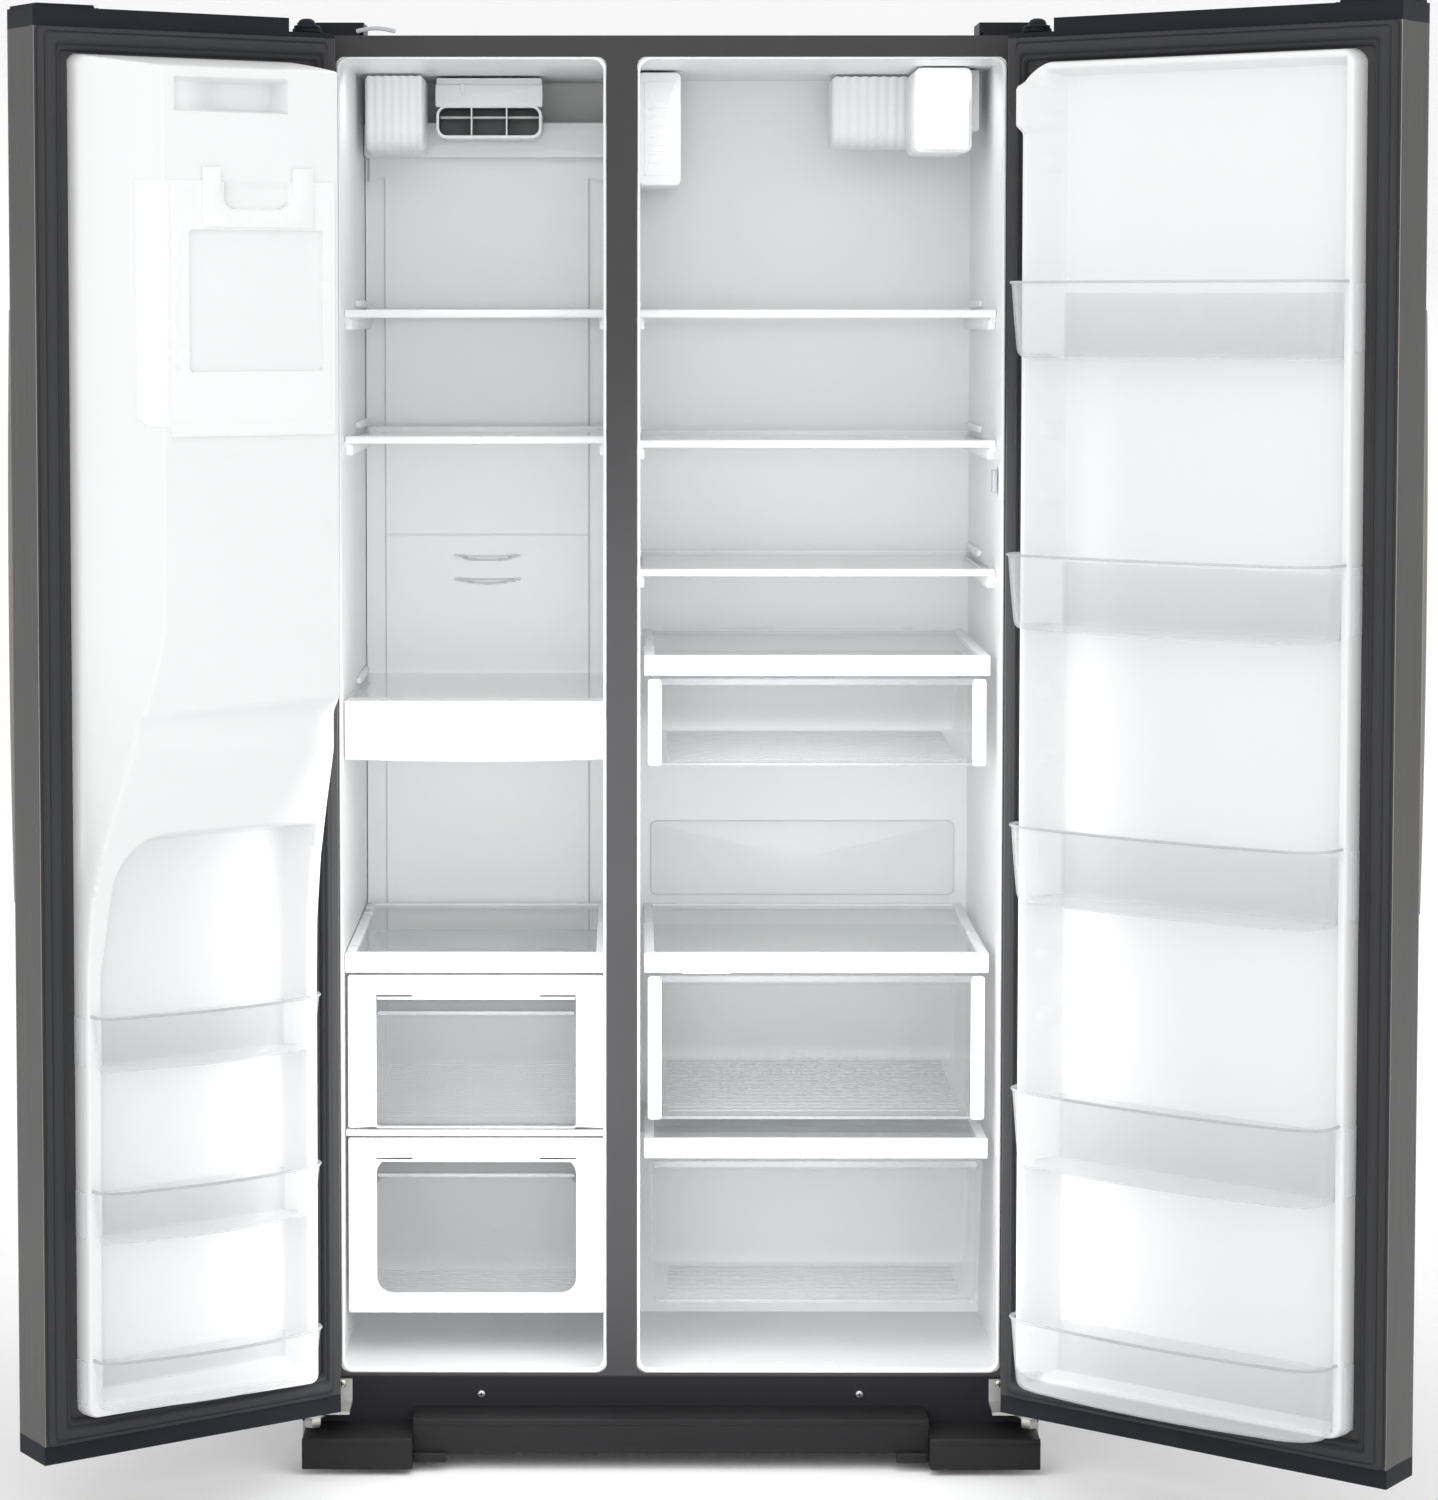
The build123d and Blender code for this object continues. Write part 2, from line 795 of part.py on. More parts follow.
def make_machine_room():
    """Compressor, condenser, fans and their motors, drain pan and water valve."""
    floor = cabinet_bottom
    x = -half + compressor_inset
    wide, deep, thick = compressor_plate
    feet_x, feet_y = compressor_feet
    with BuildPart() as compressor:
        rod((x, room_middle, floor + compressor_rise), compressor_radius, compressor_height)
        fillet(compressor.edges().filter_by(GeomType.CIRCLE), compressor_rounding)
        slab(grow((x, x), wide), grow((room_middle, room_middle), deep),
             (floor + compressor_foot_height, floor + compressor_foot_height + thick))
        with Locations((x, room_middle, floor)):
            with GridLocations(2 * feet_x, 2 * feet_y, 2, 2):
                Cylinder(compressor_foot_radius, compressor_foot_height,
                         align=(Align.CENTER, Align.CENTER, Align.MIN))
    save(compressor, "compressor")

    rows = [floor + coil_rise + row * coil_pitch for row in range(coil_rows)]
    columns = [room_middle + (step - (coil_columns - 1) / 2) * coil_pitch for step in range(coil_columns)]
    plate_y = (columns[0] - coil_plate_edge, columns[-1] + coil_plate_edge)
    plate_z = (floor + drain_pan_height, rows[-1] + drain_pan_height)
    bracket_x = [(start, start + coil_plate) for start in (coil_x[0] + 1, coil_x[1] - 1 - coil_plate)]
    with BuildPart() as condenser:
        for z in rows:
            for y in columns:
                rod((coil_x[0], y, z), coil_tube, coil_x[1] - coil_x[0], along_x)
        for span in bracket_x + [grow((middle(coil_x), middle(coil_x)), coil_plate / 2)]:
            slab(span, plate_y, plate_z)
    save(condenser, "condenser_coil")

    outer, inner = drain_pan_edge
    pan_y = grow(plate_y, coil_plate_edge)
    with BuildPart() as drain_pan:
        slab(grow(coil_x, outer), pan_y, (floor, floor + drain_pan_height))
        slab(grow(coil_x, inner), grow(pan_y, -drain_pan_wall),
             (floor + drain_pan_wall, floor + drain_pan_height + past), Mode.SUBTRACT)
        for span in bracket_x:
            slab(span, plate_y, (floor, floor + drain_pan_height))
    save(drain_pan, "drain_pan")

    cooling_x = half - cooling_fan_inset
    fan_z = floor + cooling_fan_rise
    fan("condenser_fan", cooling_x, room_middle, fan_z, fan_radius)
    fan_x = freezer_x[0] + evaporator_fan_offset
    fan_y = evaporator_face + evaporator_fan_gap
    fan("evaporator_fan", fan_x, fan_y, evaporator_fan_z, evaporator_fan_radius)
    foot, edge = motor_foot
    with BuildPart() as motors:
        for at, length in (
            ((cooling_x, room_middle, fan_z), motor_length),
            ((fan_x, fan_y, evaporator_fan_z), evaporator_motor_length),
        ):
            x, y, z = at
            back = y + fan_depth + fan_clear
            rod((x, y - fan_shaft_reach, z), pin_radius, back - y + edge, along_y)
            rod((x, back, z), motor_radius, length, along_y)
            if y == fan_y:
                slab(grow((x, x), foot / 2), (back + edge, freezer_depth), grow((z, z), motor_radius + foot))
            else:
                slab(grow((x, x), foot / 2), (back + edge, back + length - edge), (floor, z))
    save(motors, "fan_motors")

    back = cabinet_depth
    width, depth = valve_size
    cap_radius, cap_height_up, cap_depth = coil_cap
    body_y = (back - valve_back_gap - depth, back - valve_back_gap)
    with BuildPart() as valve:
        slab(grow((inlet_x, inlet_x), width / 2), body_y, (floor, inlet_z + valve_rise))
        rod((inlet_x, body_y[1] - past, inlet_z), inlet_collar, back + sheet - body_y[1] + past, along_y)
        rod((inlet_x, back + sheet, inlet_z), inlet_radius, inlet_length, along_y)
        rod((inlet_x, body_y[0] + cap_depth, inlet_z + valve_rise - past), cap_radius, cap_height_up)
    save(valve, "water_inlet_valve")


def make_freezer_cooling():
    """Finned evaporator behind the freezer's rear cover, and the cover."""
    low = step_height + evaporator_rise
    front_gap, back_gap = evaporator_gaps
    fin_z = (low, low + evaporator_height)
    fin_x = grow(freezer_x, -evaporator_side_gap)
    fin_y = (evaporator_face + front_gap, freezer_depth - back_gap)
    side, rise, depth, height = fin_slot
    with BuildPart() as evaporator:
        slab(fin_x, fin_y, fin_z)
        for step in range(fin_count):
            start = fin_z[0] + rise + step * fin_pitch
            slab(grow(fin_x, -side), (fin_y[0], fin_y[0] + depth), (start, start + height), Mode.SUBTRACT)
        for bracket in evaporator_brackets:
            slab(fin_x, (fin_y[1], freezer_depth), (low + bracket, low + bracket + bracket_height))
    save(evaporator, "evaporator")

    face = (evaporator_face, evaporator_face + cover_wall)
    span = grow(freezer_x, -side_gap)
    cover_top = opening_top - cover_top_drop
    ledge_y = evaporator_face - cover_ledge_reach
    rib_width, rib_depth = cover_rib
    rib_z = (step_height + cover_rib_ends[0], opening_top - cover_rib_ends[1])
    with BuildPart() as cover:
        slab(span, face, (step_height + side_gap, cover_top))
        with BuildSketch(Plane.XZ.offset(-evaporator_face)):
            for z in slot_levels:
                with Locations((middle(freezer_x), z)):
                    SlotOverall(*air_slot)
        extrude(amount=-cover_wall, mode=Mode.SUBTRACT)
        slab(span, (ledge_y, face[1]), (cover_top - cover_ledge, cover_top))
        slab(span, (ledge_y, ledge_y + cover_wall), (cover_top - cover_ledge, cover_top + cover_ledge_rise))
        for x in grow(freezer_x, -cover_rib_inset):
            slab(grow((x, x), rib_width / 2), (evaporator_face - rib_depth, evaporator_face), rib_z)
    save(cover, "evaporator_cover")


# ---------------------------------------------------------------- compartment fittings

def make_ducts_and_lamps():
    """Air ducts and lamp lenses under the ceilings, and the low lamp panel."""
    duct_start = freezer_x[0] + duct_offset
    duct_x = (duct_start, duct_start + duct_width)
    duct_end = evaporator_face - duct_back_gap
    duct_y = (duct_end - duct_depth, duct_end)
    duct_low = opening_top - duct_drop
    mouth = (duct_low + duct_wall, duct_low + duct_wall + duct_mouth)
    box_start = fridge_x[0] + air_box_offset
    box_end = fridge_depth - air_box_back_gap
    with BuildPart() as ducts:
        slab(duct_x, duct_y, (duct_low, ceiling))
        fillet(ducts.edges().filter_by(Axis.Y).sort_by(Axis.Z)[:2], duct_rounding)
        slab(grow(duct_x, -duct_wall), (duct_y[0] - past, duct_y[1] - duct_back), mouth, Mode.SUBTRACT)
        for share in (1 / 3, 2 / 3):
            x = duct_x[0] + (duct_x[1] - duct_x[0]) * share
            slab(grow((x, x), duct_rib / 2), duct_y, (duct_low, mouth[1] + duct_rib))
        slab((box_start, box_start + air_box_width), (box_end - air_box_depth, box_end),
             (opening_top - air_box_drop, ceiling))
        corner = ducts.edges().filter_by(Axis.Z).group_by(Axis.X)[-1].sort_by(Axis.Y)[0]
        fillet(corner, air_box_rounding)
    save(ducts, "air_ducts")

    left = freezer_x[0] + freezer_lens_offset
    right = fridge_x[1] - fridge_lens_offset
    panel_x = (fridge_x[0] + lamp_panel_gaps[0], fridge_x[1] - lamp_panel_gaps[1])
    with BuildPart() as lenses:
        slab((left, left + freezer_lens_width), freezer_lens_y, (opening_top - freezer_lens_drop, ceiling))
        slab((right - fridge_lens_width, right), fridge_lens_y, (opening_top - fridge_lens_drop, ceiling))
        fillet(lenses.edges().filter_by(Axis.X).group_by(Axis.Z)[0], lens_rounding)
        slab(panel_x, (fridge_depth - lamp_panel_depth, fridge_depth), lamp_panel_z)
    save(lenses, "light_lenses")


def make_filter():
    """Water filter housing, the filter that turns in it and its hinged door."""
    x = fridge_x[1] - filter_axis_inset
    z = opening_top - filter_axis_drop
    front, back = filter_y
    box_x = grow((x, x), filter_box / 2)
    box_low = z - filter_box / 2
    hinge = (box_x[0], front + filter_hinge_setback, box_low + filter_hinge_rise)
    ear_width, ear_height = filter_ear
    rebate = filter_door_depth + 2
    with BuildPart() as housing:
        slab(box_x, (front, back), (box_low, ceiling))
        fillet(housing.edges().filter_by(Axis.Y).sort_by(Axis.Z)[:2], filter_box_rounding)
        bore = filter_radius + filter_fit
        rod((x, front, z), bore, back - front - filter_back_wall, along_y, Mode.SUBTRACT)
        slab(box_x, (front - past, front + rebate), (box_low, z + filter_door_top), Mode.SUBTRACT)
        for wall in ((box_x[0], box_x[0] + ear_width), (box_x[1] - ear_width, box_x[1])):
            slab(wall, (front, front + rebate + past), (box_low, box_low + ear_height))
        rod(hinge, filter_hinge_pin, filter_box, along_x)
    save(housing, "filter_housing")

    door_x = grow(box_x, -ear_width - filter_door_gap)
    door_z = (hinge[2] - 2 * filter_hinge_pin, z + filter_door_top - side_gap)
    with BuildPart() as door:
        slab(door_x, (front, front + filter_door_depth), door_z)
        rod((door_x[0], hinge[1], hinge[2]), filter_hinge_barrel, door_x[1] - door_x[0], along_x)
        bore = filter_hinge_pin + running_clearance
        rod((door_x[0], hinge[1], hinge[2]), bore, filter_box, along_x, Mode.SUBTRACT)
    save(door, "filter_door")

    start = front + filter_door_depth + filter_start_gap
    grip_width, grip_proud = filter_grip
    with BuildPart() as cartridge:
        rod((x, start, z), filter_radius, back - start - filter_back_gap, along_y)
        slab(grow((x, x), grip_width / 2), (start - grip_proud, start + past),
             grow((z, z), filter_radius - grip_proud))
    save(cartridge, "water_filter")


def shelf(opening, level, depth):
    """Places for one shelf: its pane and its front strip."""
    x = grow(opening, -side_gap)
    pane_y = (shelf_front + trim_depth, shelf_front + depth)
    glass = (grow(x, -side_gap), pane_y, (level - pane, level))
    strip = (x, (shelf_front, pane_y[0]), (level - trim_height + trim_lip, level + trim_lip))
    return glass, strip


def make_shelves():
    """Glass shelves, the strips on their front edges and the freezer's lit fascia."""
    panes = []
    strips = []
    for opening, levels, depth in (
        (freezer_x, freezer_shelf_levels, freezer_shelf_depth),
        (fridge_x, shelf_levels, shelf_depth),
    ):
        for level in levels:
            glass, strip = shelf(opening, level, depth)
            panes.append(glass)
            strips.append(strip)
    for x, level, depth in cover_places:
        y = (drawer_front + cover_rail, drawer_front + depth - cover_rail)
        top = level - cover_pane_drop
        panes.append((grow(x, -cover_rail), y, (top - pane, top)))
    x = grow(freezer_x, -side_gap)
    deep = (drawer_front + trim_depth, evaporator_face - glass_shelf_gap)
    panes.append((grow(x, -side_gap), deep, (glass_shelf_level - pane, glass_shelf_level)))
    with BuildPart() as glass_panes:
        for place in panes:
            slab(*place)
    save(glass_panes, "shelf_panes")

    with BuildPart() as trims:
        for place in strips:
            slab(*place)
        fillet(trims.edges().filter_by(Axis.X).group_by(Axis.Y)[0], trim_rounding)
    save(trims, "shelf_trims")

    top = glass_shelf_level + trim_lip
    low = top - fascia_height
    under = glass_shelf_level - pane
    hollow = (drawer_front + fascia_wall, drawer_front + fascia_depth - fascia_wall)
    with BuildPart() as fascia:
        slab(x, (drawer_front, drawer_front + trim_depth), (low, top))
        slab(grow(x, -side_gap), (drawer_front + trim_depth, drawer_front + fascia_depth), (low, under))
        slab(grow(x, -side_gap - fascia_wall), hollow,
             (low + fascia_wall, under - fascia_wall), Mode.SUBTRACT)
    save(fascia, "freezer_light_fascia")


def drawer_cover(x, level, depth):
    """Adds one cover frame: a deep front strip, thin side rails and a rear bar."""
    thin = (level - cover_rail_height, level)
    front = drawer_front + cover_rail
    back = drawer_front + depth
    slab(x, (drawer_front, front), (level - cover_height, level))
    for rail in ((x[0], x[0] + cover_rail), (x[1] - cover_rail, x[1])):
        slab(rail, (front, back), thin)
    slab(x, (back - cover_rail, back), thin)


def make_drawers():
    """Crispers with their covers, freezer baskets with theirs, and the humidity slider."""
    slot_x = (fridge_x[0] + slider_slot_offset, fridge_x[0] + slider_slot_offset + slider_slot_width)
    with BuildPart() as frames:
        for place in cover_places[:3]:
            drawer_cover(*place)
        slab(slot_x, (drawer_front - past, drawer_front + slider_depth), slider_z, Mode.SUBTRACT)
    save(frames, "crisper_covers")

    with BuildPart() as basket_cover:
        drawer_cover(*cover_places[3])
        slab(basket_cover_x, (drawer_front, drawer_front + basket_rail_depth),
             (basket_tops[1] + basket_clear, basket_bottoms[0] - basket_clear))
    save(basket_cover, "basket_cover")

    with BuildPart() as slider:
        start = slot_x[0] + slider_start
        slider_y = (drawer_front - slider_proud, drawer_front + slider_depth - slider_fit)
        slab((start, start + slider_width), slider_y, grow(slider_z, -slider_fit))
    save(slider, "humidity_slider")

    x = grow(fridge_x, -crisper_side)
    for name, bottom, depth, level in zip(crisper_names, crisper_bottoms, crisper_depths, cover_levels):
        top = level - cover_height - drawer_clear
        inside = (drawer_front + crisper_face, drawer_front + depth - crisper_wall)
        with BuildPart() as crisper:
            slab(x, (drawer_front, drawer_front + depth), (bottom, top))
            fillet(crisper.edges().filter_by(Axis.Y).sort_by(Axis.Z)[:2], crisper_rounding)
            slab(grow(x, -crisper_wall), inside, (bottom + crisper_wall, top + past), Mode.SUBTRACT)
        save(crisper, name)

    x = grow(freezer_x, -basket_side)
    inner = grow(x, -basket_wall_inset)
    for name, bottom, top, depth in zip(basket_names, basket_bottoms, basket_tops, basket_depths):
        box_y = (drawer_front + basket_front, drawer_front + depth)
        box_z = (bottom + basket_box_drop, top - basket_box_drop)
        with BuildPart() as basket:
            slab(x, (drawer_front, drawer_front + basket_front), (bottom, top))
            with BuildSketch(Plane.XZ.offset(-drawer_front)):
                with Locations((middle(x), middle((bottom, top)))):
                    RectangleRounded(
                        x[1] - x[0] - 2 * window_inset, top - bottom - 2 * window_end, window_radius
                    )
            extrude(amount=-basket_front, mode=Mode.SUBTRACT)
            slab(inner, box_y, box_z)
            slab(grow(inner, -crisper_wall), grow(box_y, -crisper_wall),
                 (box_z[0] + crisper_wall, top), Mode.SUBTRACT)
        save(basket, name)


def make_light_switch():
    """Press button of the compartment lights on the fridge's side wall."""
    wall = fridge_x[1]
    with BuildPart() as button:
        slab((wall - switch_reach, wall - switch_travel - switch_gap), switch_y, switch_z)
        fillet(button.edges().filter_by(Axis.Y), switch_rounding)
    save(button, "light_switch")


# ---------------------------------------------------------------- doors

def door_block(door, base, top, inset=0.0, mode=Mode.ADD):
    """A slab of the door's outline between two heights, its outer corners rounded."""
    x = grow(door.u(0, door.width), -inset)
    y = door.w(-door_thickness + inset, inset)
    with BuildSketch(door.plane.offset(base)) as outline:
        with Locations((middle(x), middle(y))):
            Rectangle(x[1] - x[0], y[1] - y[0])
        fillet(outline.vertices().group_by(Axis.Y)[0], door_radius - inset)
    extrude(outline.sketch, amount=top - base, mode=mode)


def pocket_span(door):
    """The corner of the top cap that stays free for the hinge plate."""
    return door.u(-past, hinge_pocket), door.w(-door_thickness - past, past)


def make_door_caps(door):
    """Top and bottom end caps with the hinge bushings moulded on."""
    bore = pin_radius + running_clearance
    end_inset, side_inset = cap_rise_inset
    pocket_floor = door_top - pocket_depth
    inner_cap = door_bottom + cap_height
    with BuildPart(door.plane) as caps:
        door_block(door, door_top - cap_height, door_top)
        slab(door.u(door.width - cap_rise_length, door.width - end_inset),
             door.w(-door_thickness + side_inset, -side_inset), (door_top - past, door_top + cap_rise))
        slab(*pocket_span(door), (pocket_floor, door_top + past), Mode.SUBTRACT)
        rod((0, 0, pocket_floor - boss_depth), boss_radius, boss_depth)
        rod((0, 0, pocket_floor - boss_depth), bore, boss_depth + cap_height, mode=Mode.SUBTRACT)
        door_block(door, door_bottom, inner_cap)
        rod((0, 0, inner_cap - past), boss_radius, boss_depth - cap_height + boss_rise)
        rod((0, 0, door_bottom), bore, boss_depth + boss_rise, mode=Mode.SUBTRACT)
    save(caps, door.name + "_caps")


def make_door_skin(door):
    """Painted steel skin: the outer face and its two returned edges."""
    z = (door_bottom + cap_height, door_top - cap_height)
    with BuildPart(door.plane) as skin:
        door_block(door, z[0], z[1])
        door_block(door, z[0] - past, z[1] + past, door_skin, Mode.SUBTRACT)
        if door is freezer_door:
            slab(dispenser_u, door.w(-door_thickness - past, 0), dispenser_z, Mode.SUBTRACT)
    save(skin, door.name + "_skin")


def make_door_foam(door):
    """Foam core of a door, hollowed for the hinge bushings and the dispenser."""
    z = (door_bottom + cap_height, door_top - cap_height)
    boss_low = door_top - pocket_depth - boss_depth
    with BuildPart(door.plane) as foam:
        door_block(door, z[0], z[1], door_skin)
        slab(door.u(0, door.width), door.w(-door_liner_wall, door_skin + past), grow(z, past), Mode.SUBTRACT)
        rod((0, 0, door_bottom), boss_radius, boss_depth + boss_rise - past, mode=Mode.SUBTRACT)
        rod((0, 0, boss_low), boss_radius, boss_depth, mode=Mode.SUBTRACT)
        if door is freezer_door:
            recess = door.w(-door_thickness - past, dispenser_depth - door_thickness)
            slab(dispenser_u, recess, dispenser_z, Mode.SUBTRACT)
    save(foam, door.name + "_foam")


def module_body(inset):
    """The ice module's body in the door's own frame, drawn smaller all round by an inset."""
    left = ice_hinge_inset - pin_inset + inset
    right = ice_hinge_inset + ice_width - pin_inset - inset
    flared = right + ice_flare
    reach = pin_setback + ice_reach - inset
    low = ice_foot + inset
    high = ice_top - inset
    shoulder = ice_top - ice_shoulder_drop
    slope_reach, slope_rise = ice_slope
    crease_low, crease_high, crease_end = ice_crease
    with BuildPart() as body:
        with BuildSketch(Plane.YZ.offset(left)):
            with BuildLine():
                Polyline(
                    (pin_setback, low),
                    (reach + ice_foot_reach - ice_reach, low),
                    (reach + slope_reach - ice_reach, ice_foot + slope_rise),
                    (reach, shoulder),
                    (reach, high),
                    (pin_setback, high),
                    close=True,
                )
            make_face()
        extrude(amount=flared - left)
        with BuildSketch(Plane.XZ.offset(-reach - past)):
            with BuildLine():
                Polyline(
                    (flared, ice_foot + crease_low),
                    (flared - ice_flare * 0.45, ice_foot + crease_high),
                    (right, shoulder + crease_end),
                    (right, ice_top + past),
                    (flared + past, ice_top + past),
                    (flared + past, ice_foot + crease_low),
                    close=True,
                )
            make_face()
        extrude(amount=ice_reach + 2 * past, mode=Mode.SUBTRACT)
    return body.part


def make_door_liner(door):
    """Moulded inner panel with its raised border, notched for the ice module on the freezer's."""
    z = (door_bottom + cap_height, door_top - cap_height)
    x = door.u(door_skin, door.width - door_skin)
    border_u = (dyke_hinge_inset, door.width - dyke_free_inset)
    border_z = (door_bottom + dyke_end_inset, door_top - dyke_end_inset)
    with BuildPart(door.plane) as liner:
        slab(x, door.w(-door_liner_wall, 0), z)
        slab(door.u(*border_u), door.w(0, dyke_height), border_z)
        slab(door.u(border_u[0] + dyke_width, border_u[1] - dyke_width),
             door.w(0, dyke_height + past), grow(border_z, -dyke_width), Mode.SUBTRACT)
        slab(door.u(border_u[0], border_u[0] + dyke_width), door.w(0, door.dyke), border_z)
        if door is freezer_door:
            add(module_body(0), mode=Mode.SUBTRACT)
    save(liner, door.name + "_liner")


def make_ice_module():
    """Hollow moulded body of the ice module, open where the ice bin slides in."""
    door = freezer_door
    opening = door.u(ice_hinge_inset + ice_bin_inset, ice_hinge_inset + ice_width - ice_bin_inset)
    with BuildPart(door.plane) as module:
        add(module_body(0))
        add(module_body(ice_wall), mode=Mode.SUBTRACT)
        slab(opening, door.w(ice_reach - ice_wall - past, ice_reach + past),
             (ice_bin_low, ice_bin_high), Mode.SUBTRACT)
    save(module, "ice_module")


def make_gasket(door):
    """Magnetic door seal: a soft ring round the inner face."""
    outer_u = (gasket_hinge_edge, door.width - gasket_edge)
    inner_u = (gasket_hinge_edge + gasket_hinge_width, door.width - gasket_edge - gasket_width)
    outer_z = (door_bottom + cap_height, door_top - cap_height)
    with BuildPart(door.plane) as gasket:
        slab(door.u(*outer_u), door.w(0, door_gap - gasket_gap), outer_z)
        inner_z = grow(outer_z, -gasket_inner_end)
        slab(door.u(*inner_u), door.w(-past, door_gap + past), inner_z, Mode.SUBTRACT)
    save(gasket, door.name + "_gasket")


def make_handle(door):
    """Bowed bar handle on two feet."""
    u = door.width - handle_inset
    face = pin_setback - door_thickness
    bar = face - handle_standoff
    with BuildPart() as handle:
        with BuildLine(door.side_plane(u)) as path:
            ThreePointArc(
                (bar, handle_bottom),
                (bar - handle_bow, middle((handle_bottom, handle_top))),
                (bar, handle_top),
            )
        with BuildSketch(Plane(origin=path.line @ 0, x_dir=door.direction, z_dir=path.line % 0)):
            RectangleRounded(handle_width, handle_depth, handle_rounding)
        sweep()
        for z in (handle_bottom + handle_foot, handle_top - handle_foot):
            with BuildSketch(door.side_plane(u - handle_foot_width / 2)):
                with Locations((middle((face, bar)), z)):
                    Rectangle(handle_standoff, handle_foot)
            extrude(amount=handle_foot_width)
    save(handle, door.name + "_handle")


def make_door_bins(door, bins):
    """Clear open bins on the inner face."""
    edge = dyke_width + bin_end_gap
    x = door.u(dyke_hinge_inset + edge, door.width - dyke_free_inset - edge)
    with BuildPart(door.plane) as group:
        for low, height, reach in bins:
            for inset, start, mode in ((0, low, Mode.ADD), (bin_wall, low + bin_wall, Mode.SUBTRACT)):
                y = door.w(bin_back + inset, reach - inset)
                with BuildSketch(door.plane.offset(start)):
                    with Locations((middle(x), middle(y))):
                        Rectangle(x[1] - x[0] - 2 * inset, y[1] - y[0])
                    fillet(vertices().group_by(Axis.Y)[-1], bin_radius - inset)
                extrude(amount=height, mode=mode)
    save(group, door.name + "_bins")


def make_ice_bin():
    """Ice bin that pulls out of the module, and the latch in its face."""
    door = freezer_door
    low = ice_bin_low + ice_bin_clear
    high = ice_bin_high - ice_bin_clear
    edge = ice_bin_inset + ice_bin_clear
    u = (ice_hinge_inset + edge, ice_hinge_inset + ice_width - edge)
    face = (ice_reach - ice_bin_wall, ice_reach + ice_bin_proud)
    body = (ice_reach - ice_bin_depth, ice_reach - ice_bin_wall)
    center = middle(u)
    latch_u = (center - latch_width / 2, center + latch_width / 2)
    latch_top = high - latch_inset
    latch_face = face[1] - latch_depth
    hole_width, hole_height = latch_hole
    hole_u = (center - hole_width / 2, center + hole_width / 2)
    hole_top = latch_top - latch_hole_inset
    with BuildPart(door.plane) as ice_bin:
        slab(door.u(*u), door.w(*body), (low, high - ice_bin_mouth))
        slab(door.u(u[0] + ice_bin_wall, u[1] - ice_bin_wall),
             door.w(body[0] + ice_bin_wall, body[1]), (low + ice_bin_wall, high), Mode.SUBTRACT)
        slab(door.u(*u), door.w(*face), (low, high))
        slab(door.u(*latch_u), door.w(latch_face, face[1] + past),
             (latch_top - latch_height, latch_top), Mode.SUBTRACT)
        slab(door.u(*hole_u), door.w(face[0] - past, face[1]),
             (hole_top - hole_height, hole_top), Mode.SUBTRACT)
    save(ice_bin, "ice_bin")

    with BuildPart(door.plane) as latch:
        slab(door.u(latch_u[0] + latch_gap, latch_u[1] - latch_gap),
             door.w(latch_face + latch_gap, face[1] + past),
             (latch_top - latch_height + latch_gap, latch_top - latch_travel - latch_gap))
        slab(door.u(*hole_u), door.w(face[0] - past, face[1] + 2 * past),
             (hole_top - hole_height, hole_top - latch_travel - 2 * past), Mode.SUBTRACT)
    save(latch, "ice_bin_latch")


def make_dispenser():
    """Recess of the ice and water dispenser in the outer face, and its paddle."""
    door = freezer_door
    x = dispenser_u
    center = (middle(x), middle(x))
    front = -door_thickness
    back = front + dispenser_depth
    wall = dispenser_wall
    panel = (dispenser_high - dispenser_panel_height, dispenser_high)
    plate = back - wall - paddle_reach
    with BuildPart(door.plane) as housing:
        slab(x, door.w(front, back), dispenser_z)
        slab(grow(x, -wall), door.w(front - past, back - wall), (dispenser_low + wall, panel[0]),
             Mode.SUBTRACT)
        slab(grow(x, -wall), door.w(front + wall, back - wall), grow(panel, -wall), Mode.SUBTRACT)
        slab(grow(center, nozzle_half), door.w(front + nozzle_length, back),
             (panel[0] - nozzle_length, panel[0]))
    save(housing, "dispenser_housing")

    with BuildPart(door.plane) as paddle:
        slab(grow(center, paddle_width / 2), door.w(plate, plate + paddle_thick),
             (panel[0] - paddle_drop - paddle_height, panel[0] - paddle_drop))
        fillet(paddle.edges().filter_by(Axis((0, 0, 0), door.inward)), paddle_rounding)
    save(paddle, "dispenser_paddle")


# ---------------------------------------------------------------- build every piece

make_cabinet_shell()
make_front_frame()
make_liners()
make_cabinet_foam()
make_back()
make_base()
make_screws()
make_hinges()
make_machine_room()
make_freezer_cooling()
make_ducts_and_lamps()
make_filter()
make_shelves()
make_drawers()
make_light_switch()
for each_door, each_bins in ((freezer_door, freezer_bins), (fridge_door, fridge_bins)):
    make_door_skin(each_door)
    make_door_caps(each_door)
    make_door_foam(each_door)
    make_door_liner(each_door)
    make_gasket(each_door)
    make_handle(each_door)
    make_door_bins(each_door, each_bins)
make_ice_module()
make_ice_bin()
make_dispenser()
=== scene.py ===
import json
from math import cos, pi, radians, sin, tau

